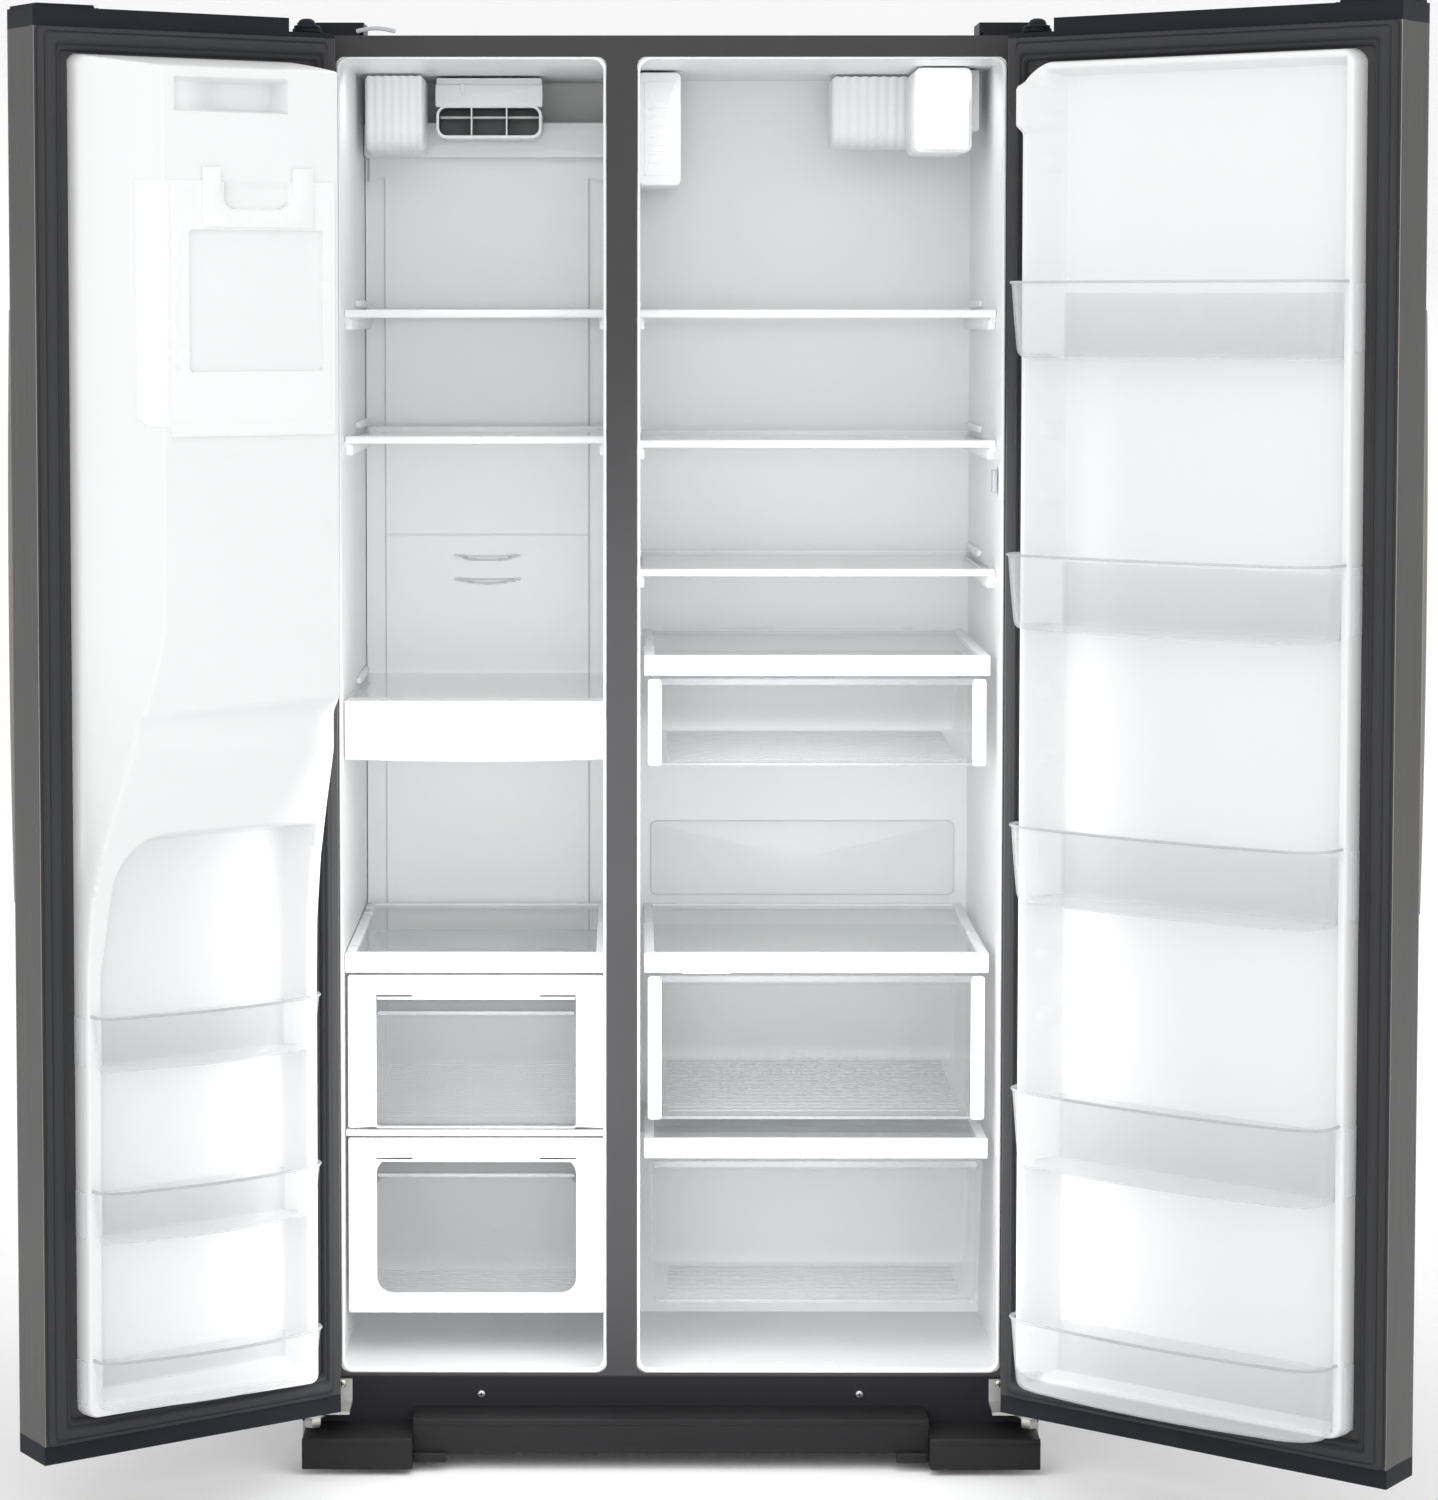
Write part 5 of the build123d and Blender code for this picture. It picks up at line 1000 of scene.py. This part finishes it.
def drawer_covers():
    """The covers over the three crispers and over the freezer's baskets."""
    x = (FRIDGE_X[0] + 9.0, FRIDGE_X[1] - 9.0)
    parts = []
    for level, depth in ((985.0, 400.0), (613.0, 400.0), (379.0, 218.0)):
        parts += cover_frame(x, level, depth, 26.0)
    parts.append(block((14.0, 76.0), (586.8, 603.5), (78.6, 80.6), 3.0, 0.7, facing, 3))
    made = piece("crisper_cover_frames", parts, [trim_white], "cabinet", stands_for=("crisper_covers",))
    track = [block((17.0, 73.0), (590.0, 600.0), (78.2, 79.0), 3.0, 0.3, facing, 3)]
    piece("humidity_track", track, [button_grey], "cabinet")
    x = (FREEZER_X[0] + 1.0, FREEZER_X[1] - 1.0)
    parts = cover_frame(x, 613.0, 400.0, 26.0)
    parts.append(block((80.0, 100.0), (381.5, 389.5), x, 3.0, 1.0, sideways, 4))
    piece("basket_cover_frame", parts, [trim_white], "cabinet", stands_for=("basket_cover",))
    return made


def crisper(name, low, high, depth, white_sides):
    """A clear drawer: a tapered tray with round lower corners, a thick rim, a pull lip and a ribbed floor."""
    x0, x1 = FRIDGE_X[0] + 14.0, FRIDGE_X[1] - 14.0
    levels = np.array([0.0, 1.0, 4.0, 10.0, 18.0, 0.5 * (high - low), high - low - 6.0, high - low - 1.5,
                       high - low])
    lean = np.array([14.0, 9.0, 6.5, 5.6, 5.0, 3.0, 0.8, 0.2, 0.6])
    thick = np.array([2.6, 2.6, 2.6, 2.5, 2.4, 2.4, 2.4, 3.4, 3.0])
    rows_out, rows_in = [], []
    for lift, inset, wall in zip(levels, lean, thick):
        loop = round_loop(x0 + inset, x1 - inset, 80.4 + inset * 0.5, 80.0 + depth - inset * 0.7, 9.0, 4)
        rows_out.append(xyz(loop[:, 0], loop[:, 1], low + lift))
        loop = round_loop(x0 + inset + wall, x1 - inset - wall, 80.4 + inset * 0.5 + wall,
                          80.0 + depth - inset * 0.7 - wall, 7.0, 4)
        rows_in.append(xyz(loop[:, 0], loop[:, 1], low + max(lift, 2.6)))
    count = rows_out[0].shape[0]
    centre = np.array([(x0 + x1) / 2, 80.0 + depth / 2]) * MM
    floor_out = np.column_stack([np.tile(centre, (count, 1)), np.full(count, low * MM)])
    floor_in = np.column_stack([np.tile(centre, (count, 1)), np.full(count, (low + 2.6) * MM)])
    grid = np.stack([floor_out] + rows_out + rows_in[::-1] + [floor_in])
    parts = [(grid, True, 0)]
    parts.append((*block((79.0, 84.0), (high - 9.0, high - 0.6), (x0 + 8.0, x1 - 8.0), 3.6, 1.0, sideways,
                         5), 1))
    for y in np.arange(120.0, 80.0 + depth - 24.0, 21.0):
        parts.append((*block((y, y + 3.0), (low + 2.5, low + 5.0), (x0 + 26.0, x1 - 26.0), 1.2, 0.5,
                             sideways, 2), 1))
    parts.append((*block((81.0, 84.0), (low + 1.0, low + 5.0), (x0 + 14.0, x1 - 14.0), 1.0, 0.4, sideways,
                         2), 1))
    if white_sides:
        for a, b in ((x0 - 0.4, x0 + 17.0), (x1 - 17.0, x1 + 0.4)):
            parts.append((*block((a, b), (low + 1.0, high - 1.0), (79.2, 80.8), 4.0, 0.7, facing, 4), 2))
    return piece(name + "_tray", parts, [drawer_clear, clear_rim, trim_white], name, stands_for=(name,),
                 angle=40.0)


def crispers():
    """The three crispers on their own slides."""
    crisper("upper_crisper", 846.0, 956.5, 395.0, True)
    crisper("middle_crisper", 402.0, 584.5, 395.0, True)
    crisper("lower_crisper", 170.0, 350.5, 206.0, False)


def window_frame(x, z, y, window, radius, edge_radius):
    """A flat frame with a rounded window: outer and inner rounded loops joined front and back."""
    outer = round_loop(x[0], x[1], z[0], z[1], edge_radius, 6)
    inner = round_loop(window[0][0], window[0][1], window[1][0], window[1][1], radius, 6)
    soft = 1.2
    rows = [(outer, y[0] + soft, 0.0), (outer, y[0], soft), (inner, y[0], -soft), (inner, y[0] + soft, 0.0),
            (inner, y[1], 0.0), (outer, y[1], 0.0)]
    centre = np.array([(x[0] + x[1]) / 2, (z[0] + z[1]) / 2])
    half = np.array([(x[1] - x[0]) / 2, (z[1] - z[0]) / 2])
    grid = []
    for loop, depth, inset in rows:
        moved = centre + (loop - centre) * (1.0 - inset / half)
        grid.append(xyz(moved[:, 0], depth, moved[:, 1]))
    return np.stack(grid + [grid[0]]), True


def basket(name, low, high, depth, low_edge, window_low, window_radius):
    """A freezer basket: a white frame round a clear window, a handle lip above it and a ribbed clear tray."""
    x0, x1 = FREEZER_X[0] + 4.0, FREEZER_X[1] - 4.0
    window = ((x0 + 35.0, x1 - 35.0), (window_low, high - 25.0))
    parts = [(*window_frame((x0, x1), (low_edge, high), (80.0, 90.0), window, window_radius, 3.0), 0)]
    parts.append((*block((82.0, 88.0), (high - 31.0, high - 25.5),
                         (window[0][0] + 1.0, window[0][1] - 1.0), 2.4, 0.8, sideways, 4), 0))
    for a, b in ((window[0][0], window[0][0] + 45.0), (window[0][1] - 45.0, window[0][1])):
        parts.append((*block((a, b), (high - 26.2, high - 24.6), (79.7, 80.3), 0.4, 0.1, facing, 2), 2))
    parts.append((*block((window[0][0] - 1.0, window[0][1] + 1.0), (window_low - 1.0, high - 50.0),
                         (84.0, 86.0), window_radius * 0.8, 0.4,
                         facing, 5), 1))
    parts.append((*block((84.2, 90.4), (high - 50.5, high - 46.0),
                         (window[0][0] + 2.0, window[0][1] - 2.0), 1.6, 0.6, sideways, 3), 3))
    a0, a1 = x0 + 7.0, x1 - 7.0
    levels = np.array([0.0, 1.5, 6.0, 0.5 * (high - low), high - low - 12.0, high - low - 9.0])
    lean = np.array([16.0, 10.0, 7.5, 4.0, 0.6, 0.2])
    rows_out, rows_in = [], []
    for lift, inset in zip(levels, lean):
        loop = round_loop(a0 + inset, a1 - inset, 91.0, 80.0 + depth - inset * 0.8, 8.0, 4)
        rows_out.append(xyz(loop[:, 0], loop[:, 1], low + 4.0 + lift))
        loop = round_loop(a0 + inset + 2.4, a1 - inset - 2.4, 93.4, 77.6 + depth - inset * 0.8, 6.0, 4)
        rows_in.append(xyz(loop[:, 0], loop[:, 1], low + 4.0 + max(lift, 2.4)))
    count = rows_out[0].shape[0]
    centre = np.array([(a0 + a1) / 2, 80.0 + depth / 2]) * MM
    floors = [np.column_stack([np.tile(centre, (count, 1)), np.full(count, h * MM)]) for h in (low + 4.0,
            low + 6.4)]
    parts.append((np.stack([floors[0]] + rows_out + rows_in[::-1] + [floors[1]]), True, 1))
    for y in np.arange(112.0, 80.0 + depth - 20.0, 13.0):
        parts.append((*block((y, y + 2.6), (low + 6.2, low + 8.6), (a0 + 24.0, a1 - 24.0), 1.0, 0.4,
                             sideways, 2), 3))
    parts.append((*block((80.0 + depth - 9.0, 80.0 + depth - 4.0), (high - 30.0, high - 5.0),
                         (a0 + 6.0, a1 - 6.0), 1.6, 0.6, sideways, 3), 3))
    return piece(name + "_front", parts, [trim_white, drawer_clear, seal_grey, clear_rim], name,
                 stands_for=(name,),
                 angle=40.0)


def baskets():
    """Both freezer baskets on their own slides."""
    basket("freezer_upper_basket", 392.0, 584.0, 385.0, 392.0, 393.0, 4.0)
    basket("freezer_lower_basket", 158.0, 379.0, 198.0, 158.0, 182.0, 20.0)


def filter_front():
    """The water filter's housing and its hinged front door with a shallow finger dish."""
    parts = [block((308.0, 380.0), (1611.0, 1717.0), (184.0, 345.0), 9.0, 2.0, facing, 6),
             block((380.0, 393.0), (1640.0, 1717.0), (230.0, 345.0), 3.0, 1.2, facing, 3)]
    piece("filter_case", parts, [trim_white], "cabinet", stands_for=("filter_housing",))
    x, z = np.meshgrid(np.linspace(312.7, 375.3, 25), np.linspace(1614.0, 1680.6, 27), indexing="ij")
    depth = 171.0 + 1.8 * smooth(1.0 - np.hypot((x - 344.0) / 20.0, (z - 1666.0) / 8.0))
    edge = np.minimum(np.minimum(x - 312.7, 375.3 - x), np.minimum(z - 1614.0, 1680.6 - z))
    depth = depth + 2.0 * (1 - np.sqrt(np.clip(1 - (1 - np.clip(edge / 3.0, 0, 1)) ** 2, 0, 1)))
    grid = xyz(x, depth, z)
    rim = np.concatenate([grid[:, 0], grid[-1, 1:], grid[-2::-1, -1], grid[0, -2:0:-1]])
    back = rim.copy()
    back[:, 1] = 180.0 * MM
    middle = np.broadcast_to(back.mean(axis=0), back.shape)
    piece("filter_front_door", [(grid, False), (np.stack([rim, back, middle]), True)], [trim_white],
          "filter_door",
          stands_for=("filter_door",), angle=40.0)


def wall_switch():
    """The round-edged press button of the compartment lights."""
    parts = [block((56.5, 77.5), (1187.5, 1216.5), (396.2, 402.4), 4.0, 1.6, sideways, 6)]
    piece("light_button", parts, [button_grey], "light_switch", stands_for=("light_switch",))
    rows = []
    for out, x in ((0.0, 405.9), (0.0, 404.0), (0.7, 403.4), (4.4, 403.4), (5.2, 404.2), (5.2, 405.9),
                   (0.0, 405.9)):
        loop = round_loop(54.8 - out, 79.2 + out, 1185.8 - out, 1218.2 + out, 5.0 + out, 6)
        rows.append(xyz(x, loop[:, 0], loop[:, 1]))
    piece("light_button_frame", [(np.stack(rows), True)], [trim_white], "cabinet")


def liner_lips():
    """The bright turned lips of both liners round the openings: a rounded bead carried round each opening."""
    parts = []
    for opening in (FREEZER_X, FRIDGE_X):
        loop = round_loop(opening[0] + 0.6, opening[1] - 0.6, OPENING_LOW + 0.6, OPENING_HIGH - 0.6, 14.0,
                          6)
        rows = []
        centre = loop.mean(axis=0)
        for inset, y in ((0.0, 0.8), (0.6, 0.0), (2.2, -0.2), (3.4, 1.2), (3.0, 14.0), (0.0, 14.0)):
            way = (centre - loop) / np.abs(centre - loop).max(axis=0)
            inner = loop + np.sign(way) * np.minimum(np.abs(way), 1.0) * inset
            rows.append(xyz(inner[:, 0], y, inner[:, 1]))
        parts.append((np.stack(rows + [rows[0]]), True))
    piece("liner_lips", parts, [trim_white], "cabinet", angle=50.0)


lamp_lenses()
fan_duct()
evaporator_cover_face()
wall_bumps()
shelf_fittings()
lit_fascia()
drawer_covers()
crispers()
baskets()
filter_front()
wall_switch()
liner_lips()


# ---------------------------------------------------------------- base, hinges, back and dispenser


def base_front():
    """The base grille: a plain centre panel, a ledge behind it and a deeper block at each end."""
    half = 314.0
    parts = [block((-60.0, -56.0), (22.0, 64.0), (-half, half), 1.8, 1.0, sideways, 4),
             block((-58.0, -1.0), (59.5, 63.2), (-half, half), 1.0, 0.6, sideways, 2),
             block((-60.8, -59.5), (56.5, 58.5), (-half, half), 0.6, 0.2, sideways, 2),
             block((-20.0, -12.0), (24.0, 59.5), (-half, half), 2.0, 1.0, sideways, 2)]
    for side in (-1, 1):
        low, high = sorted((side * half, side * 448.0))
        parts.append(block((-81.0, -76.5), (8.0, 46.0), (low, high), 1.8, 1.2, sideways, 4))
        parts.append(block((-79.0, -1.0), (41.5, 44.5), (low, high), 1.0, 0.6, sideways, 2))
        parts.append(block((-81.6, -80.4), (38.5, 40.5), (low, high), 0.6, 0.2, sideways, 2))
        low, high = sorted((side * half, side * (half + 4.0)))
        parts.append(block((-80.0, -1.0), (9.0, 46.0), (low, high), 1.5, 0.8, sideways, 3))
        low, high = sorted((side * (half - 1.0), side * (half - 40.0)))
        parts.append(block((-66.0, -60.5), (12.0, 24.0), (low, high), 2.0, 1.0, sideways, 3))
    piece("base_front", parts, [grille_black], "cabinet", stands_for=("base_grille",),
          angle=40.0)


def slotted_screw(centre, axis, radius, height):
    """A pan head screw: a low dome turned round its axis."""
    dome = [(height * np.sin(t), radius * (0.62 + 0.38 * np.cos(t))) for t in np.linspace(0.0, pi / 2, 5)]
    profile = [(0.0, 0.0), (0.0, radius)] + dome + [(height, 0.0)]
    return turned(profile, centre, axis, 18)


def cross_recess_shade(centre, size, depth, place):
    """A small dark cross on a screw's head: painted shade for its sunk cross recess."""
    x, y, z = centre
    return [block((x - size, x + size), (z - size * 0.22, z + size * 0.22), (y - depth, y), 0.2, 0.05,
                  place, 2),
            block((x - size * 0.22, x + size * 0.22), (z - size, z + size), (y - depth, y), 0.2, 0.05,
                  place, 2)]


def hinge_fittings():
    """Fasteners of both bottom hinges, the domes over the top pins and a short wire by the left one."""
    bright, dark = [], []
    for x, z in ((-233.0, 78.0), (233.0, 78.0)):
        bright.append(slotted_screw((x, 0.0, z), (0.0, -1.0, 0.0), 5.2, 2.8))
        dark += cross_recess_shade((x, -2.6, z), 3.0, 0.5, facing)
    for side in (-1, 1):
        for inset in (49.0, 14.0):
            x = side * (HALF_WIDTH - inset)
            bright.append(slotted_screw((x, -4.0, 92.0), (0.0, -1.0, 0.0), 5.6, 3.0))
            dark += cross_recess_shade((x, -6.9, 92.0), 3.2, 0.5, facing)
        pin = (side * PIN_X, PIN_Y, 53.0)
        bright.append(turned([(0.0, 0.0), (0.0, 10.0), (3.0, 11.0), (10.0, 11.0), (13.0, 9.0),
                              (14.0, 0.0)], pin, (0.0, 0.0, 1.0), 6))
    piece("hinge_screws", bright, [zinc], "cabinet", stands_for=("cabinet_screws",),
          angle=40.0)
    # Dark crosses on the screw heads: painted shade for their cross recesses.
    piece("screw_recess_shade", dark, [cap_black], "cabinet")
    parts = []
    for side in (-1, 1):
        x = side * PIN_X
        low, high = sorted((x - side * 62.0, side * 452.5))
        parts.append(block((low, high), (1748.5, 1759.6), (8.5, 79.0), 4.0, 1.6, facing, 5))
        low, high = sorted((x - side * 15.0, x + side * 15.0))
        parts.append(block((low, high), (PIN_Y - 14.0, 6.0), (1748.2, 1752.0), 12.0, 1.2, upright, 6))
        parts.append(turned([(0.0, 0.0), (0.0, 11.0), (4.0, 11.0), (8.0, 9.0), (10.0, 5.0), (10.5, 0.0)],
                            (x, PIN_Y, 1750.0), (0.0, 0.0, 1.0), 24))
    piece("top_hinge_covers", parts, [cap_black], "cabinet", angle=40.0)
    t = np.linspace(0.0, 1.0, 17)
    wire = np.stack([-380.0 + 46.0 * t, -1.0 - 6.0 * np.sin(pi * t), 1749.0 + 3.0 * np.sin(pi * t)], axis=1)
    piece("door_harness", [tube(wire, 2.6, 10)], [button_grey], "cabinet")


def back_fittings():
    """Screws round the rear panel and the machine room cover, pressed ribs, and the water inlet's nut."""
    bright = [slotted_screw((x, 610.0, z), (0.0, 1.0, 0.0), 5.0, 2.6)
              for x in (-440.0, -220.0, 0.0, 220.0, 440.0) for z in (298.0, 1732.0)]
    bright += [slotted_screw((x, 610.0, z), (0.0, 1.0, 0.0), 5.0, 2.6) for x in (-444.0,
            444.0) for z in (660.0, 1010.0, 1370.0)]
    bright += [slotted_screw((x, 610.0, z), (0.0, 1.0, 0.0), 5.0, 2.6) for x in (-444.0, 0.0,
            444.0) for z in (58.0, 270.0)]
    piece("rear_screws", bright, [zinc], "cabinet", angle=40.0)
    ribs = [block((x - 3.0, x + 3.0), (380.0, 1650.0), (609.0, 612.0), 2.8, 1.2, facing,
                  4) for x in (-400.0, 0.0, 400.0)]
    ribs += [block((-360.0, 360.0), (z - 3.0, z + 3.0), (609.0, 611.6), 2.8, 1.2, facing,
                   4) for z in (360.0, 1672.0)]
    piece("rear_ribs", ribs, [galvanised], "cabinet", angle=40.0)
    nut = [turned([(0.0, 0.0), (0.0, 9.5), (2.0, 10.2), (8.0, 10.2), (9.0, 9.0), (9.0, 0.0)],
                  (330.0, 612.0, 120.0), (0.0, 1.0, 0.0), 6)]
    piece("inlet_nut", nut, [zinc], "cabinet", angle=20.0)


def on_door(a, b, c):
    """A block on the freezer door's outer face: a is u, b is height and c is the distance w."""
    return FREEZER_DOOR.place(a, c, b)


def dispenser_front():
    """The dispenser in the freezer door's outer face: a bevelled frame round a deep rounded recess, a glossy
    panel with a row of plain keys, a spout and a slatted drip tray."""
    face = -DOOR_THICK
    outer = round_loop(92.0, 300.0, 926.0, 1334.0, 10.0, 6)
    lip = round_loop(98.0, 294.0, 932.0, 1208.0, 14.0, 6)
    rows = [(outer, face + 0.4), (outer, face - 1.6), (round_loop(94.0, 298.0, 928.0, 1332.0, 9.0, 6),
                                                       face - 2.6),
            (round_loop(96.0, 296.0, 930.0, 1210.0, 14.0, 6), face - 2.6), (lip, face - 1.0),
            (lip, face + 40.0),
            (round_loop(106.0, 286.0, 946.0, 1200.0, 26.0, 6), face + 58.0)]
    grid = np.stack([on_door(loop[:, 0], loop[:, 1], depth) for loop, depth in rows])
    back = np.broadcast_to(grid[-1].mean(axis=0), grid[-1].shape)[None]
    parts = [(np.concatenate([grid, back]), True, 0)]
    parts.append((*block((99.0, 293.0), (1214.0, 1327.0), (face - 3.6, face - 2.0), 6.0, 0.8, on_door, 5),
                  1))
    for step in range(5):
        u = 118.0 + step * 32.0
        parts.append((*block((u, u + 24.0), (1230.0, 1240.0), (face - 4.2, face - 3.2), 3.0, 0.4, on_door,
                             4), 2))
    parts.append((*block((150.0, 242.0), (1262.0, 1304.0), (face - 4.0, face - 3.2), 4.0, 0.4, on_door, 4),
                  3))
    centre = 196.0
    spout = FREEZER_DOOR.place(centre, face + 34.0, 1214.0) / MM
    parts.append((*turned([(0.0, 0.0), (0.0, 24.0), (16.0, 20.0), (34.0, 13.0), (36.0, 10.0), (36.0, 0.0)],
                          spout, (0.0, 0.0, -1.0), 28), 0))
    for step in range(11):
        u = 112.0 + step * 16.2
        parts.append((*block((u, u + 8.0), (933.0, 939.0), (face + 3.0, face + 50.0), 1.6, 0.6, on_door,
                             3), 4))
    piece("dispenser_face", parts, [cap_black, panel_glass, button_grey, frame_charcoal, grille_black],
          "freezer_door",
          angle=38.0)
    u, z = np.meshgrid(np.linspace(170.0, 222.0, 17), np.linspace(1062.0, 1178.0, 25), indexing="ij")
    hollow = 5.0 * np.cos((u - centre) / 26.0 * pi / 2) * np.ones_like(z)
    plate_front = face + 37.2 + hollow - 4.0 * smooth((1090.0 - z) / 28.0)
    front = on_door(u, z, plate_front)
    rim = np.concatenate([front[:, 0], front[-1, 1:], front[-2::-1, -1], front[0, -2:0:-1]])
    deep = on_door(u, z, plate_front + 3.0)
    rim_deep = np.concatenate([deep[:, 0], deep[-1, 1:], deep[-2::-1, -1], deep[0, -2:0:-1]])
    piece("dispenser_lever", [(front, False), (deep[:, ::-1], False), (np.stack([rim, rim_deep]), True)],
          [cap_black],
          "dispenser_paddle", stands_for=("dispenser_paddle",), angle=40.0)


def door_caps_detail():
    """The stepped end of each door's top cap and the joint line under it."""
    for door, name in ((FREEZER_DOOR, "freezer_door"), (FRIDGE_DOOR, "fridge_door")):
        parts = [block((door.width - 82.0, door.width - 7.0), (-DOOR_THICK + 5.0, -5.0), (1756.0, 1760.6),
                       6.0, 1.6, door.place, 5),
                 block((door.width - 86.0, door.width - 82.5), (-DOOR_THICK + 6.0, -6.0), (1755.5, 1758.2),
                       1.2, 0.8, door.place, 3)]
        for z in (DOOR_LOW + CAP, DOOR_HIGH - CAP):
            line = round_loop(-0.15, door.width + 0.15, -DOOR_THICK - 0.15, 0.1, 12.2, 6)
            ring = np.stack([door.place(line[:, 0], line[:, 1], z - 0.5),
                             door.place(line[:, 0], line[:, 1], z + 0.5)])
            middle = [np.broadcast_to(row.mean(axis=0), row.shape)[None] for row in ring]
            parts.append((np.concatenate([middle[0], ring, middle[1]]), True))
        piece(name + "_cap_step", parts, [cap_black], name, angle=40.0)


base_front()
hinge_fittings()
back_fittings()
dispenser_front()
door_caps_detail()


# ---------------------------------------------------------------- floor, light and camera


def floor_sheet():
    """A flat pale floor that rises in a wide smooth curve behind the object."""
    across = np.linspace(-9.0, 9.0, 3)
    run = np.concatenate([[-9.0], 3.2 + 2.6 * np.sin(np.linspace(0.0, pi / 2, 17)), [5.8]])
    rise = np.concatenate([[0.0], 2.6 - 2.6 * np.cos(np.linspace(0.0, pi / 2, 17)), [9.0]])
    x, y = np.meshgrid(across, run)
    z = np.repeat(rise[:, None], 3, axis=1)
    grid = np.stack([x, y, z], axis=-1)
    mesh = bpy.data.meshes.new("floor")
    mesh.from_pydata(grid.reshape(-1, 3), [], quads(len(run), 3, False)[:, ::-1].tolist())
    mesh.materials.append(floor_pale)
    mesh.shade_smooth()
    made = bpy.data.objects.new("floor", mesh)
    bpy.context.scene.collection.objects.link(made)
    return made


def soft_light(name, place, aim, size, power):
    """A soft white lamp at a place, turned towards the point it lights and hidden from the camera."""
    data = bpy.data.lights.new(name, "AREA")
    data.shape = "RECTANGLE"
    data.size, data.size_y = size
    data.energy = power
    lamp = bpy.data.objects.new(name, data)
    lamp.visible_camera = False
    bpy.context.scene.collection.objects.link(lamp)
    lamp.location = place
    lamp.rotation_euler = (Vector(aim) - Vector(place)).to_track_quat("-Z", "Y").to_euler()
    return lamp


# name, place, the point it lights, size and power
LAMPS = (
    ("key", (-2.6, -5.2, 3.6), (0.0, 0.2, 0.9), (3.2, 3.2), 36.0),
    ("fill", (3.0, -5.0, 2.4), (0.0, 0.2, 0.8), (3.2, 3.2), 16.0),
    ("top", (0.0, -0.6, 4.6), (0.0, 0.1, 0.0), (4.0, 3.0), 14.0),
    ("rear", (0.6, 4.6, 3.4), (0.0, 0.6, 0.9), (4.0, 3.0), 70.0),
    ("front", (0.0, -4.9, 1.0), (0.0, 0.3, 0.7), (1.6, 1.8), 20.0),
    ("freezer_ceiling", (-0.242, 0.10, 1.705), (-0.242, 0.36, 0.8), (0.28, 0.10), 0.32),
    ("fridge_ceiling", (0.182, 0.10, 1.705), (0.182, 0.34, 0.8), (0.38, 0.10), 0.36),
    ("freezer_mouth", (-0.242, -0.22, 0.62), (-0.242, 0.45, 0.57), (0.26, 1.00), 2.0),
    ("fridge_mouth", (0.182, -0.22, 0.70), (0.182, 0.45, 0.64), (0.36, 1.15), 2.6),
)
SKY = 0.88

floor_sheet()
for lamp in LAMPS:
    soft_light(*lamp)
world = bpy.data.worlds.new("studio")
world.use_nodes = True
background = world.node_tree.nodes["Background"]
background.inputs["Color"].default_value = (1.0, 1.0, 1.0, 1.0)
background.inputs["Strength"].default_value = SKY
bpy.context.scene.world = world

lens = bpy.data.cameras.new("camera")
lens.sensor_fit = "AUTO"
lens.sensor_width = 36.0
lens.lens = 91.14
lens.shift_x = 0.0675
lens.shift_y = -0.15
lens.clip_start = 0.1
lens.clip_end = 60.0
camera = bpy.data.objects.new("camera", lens)
bpy.context.scene.collection.objects.link(camera)
camera.location = (-0.0477, -4.6148, 1.4135)
camera.rotation_euler = (radians(90.0 - 3.25), 0.0, radians(0.214))
bpy.context.scene.camera = camera
bpy.context.scene.view_settings.view_transform = "Standard"
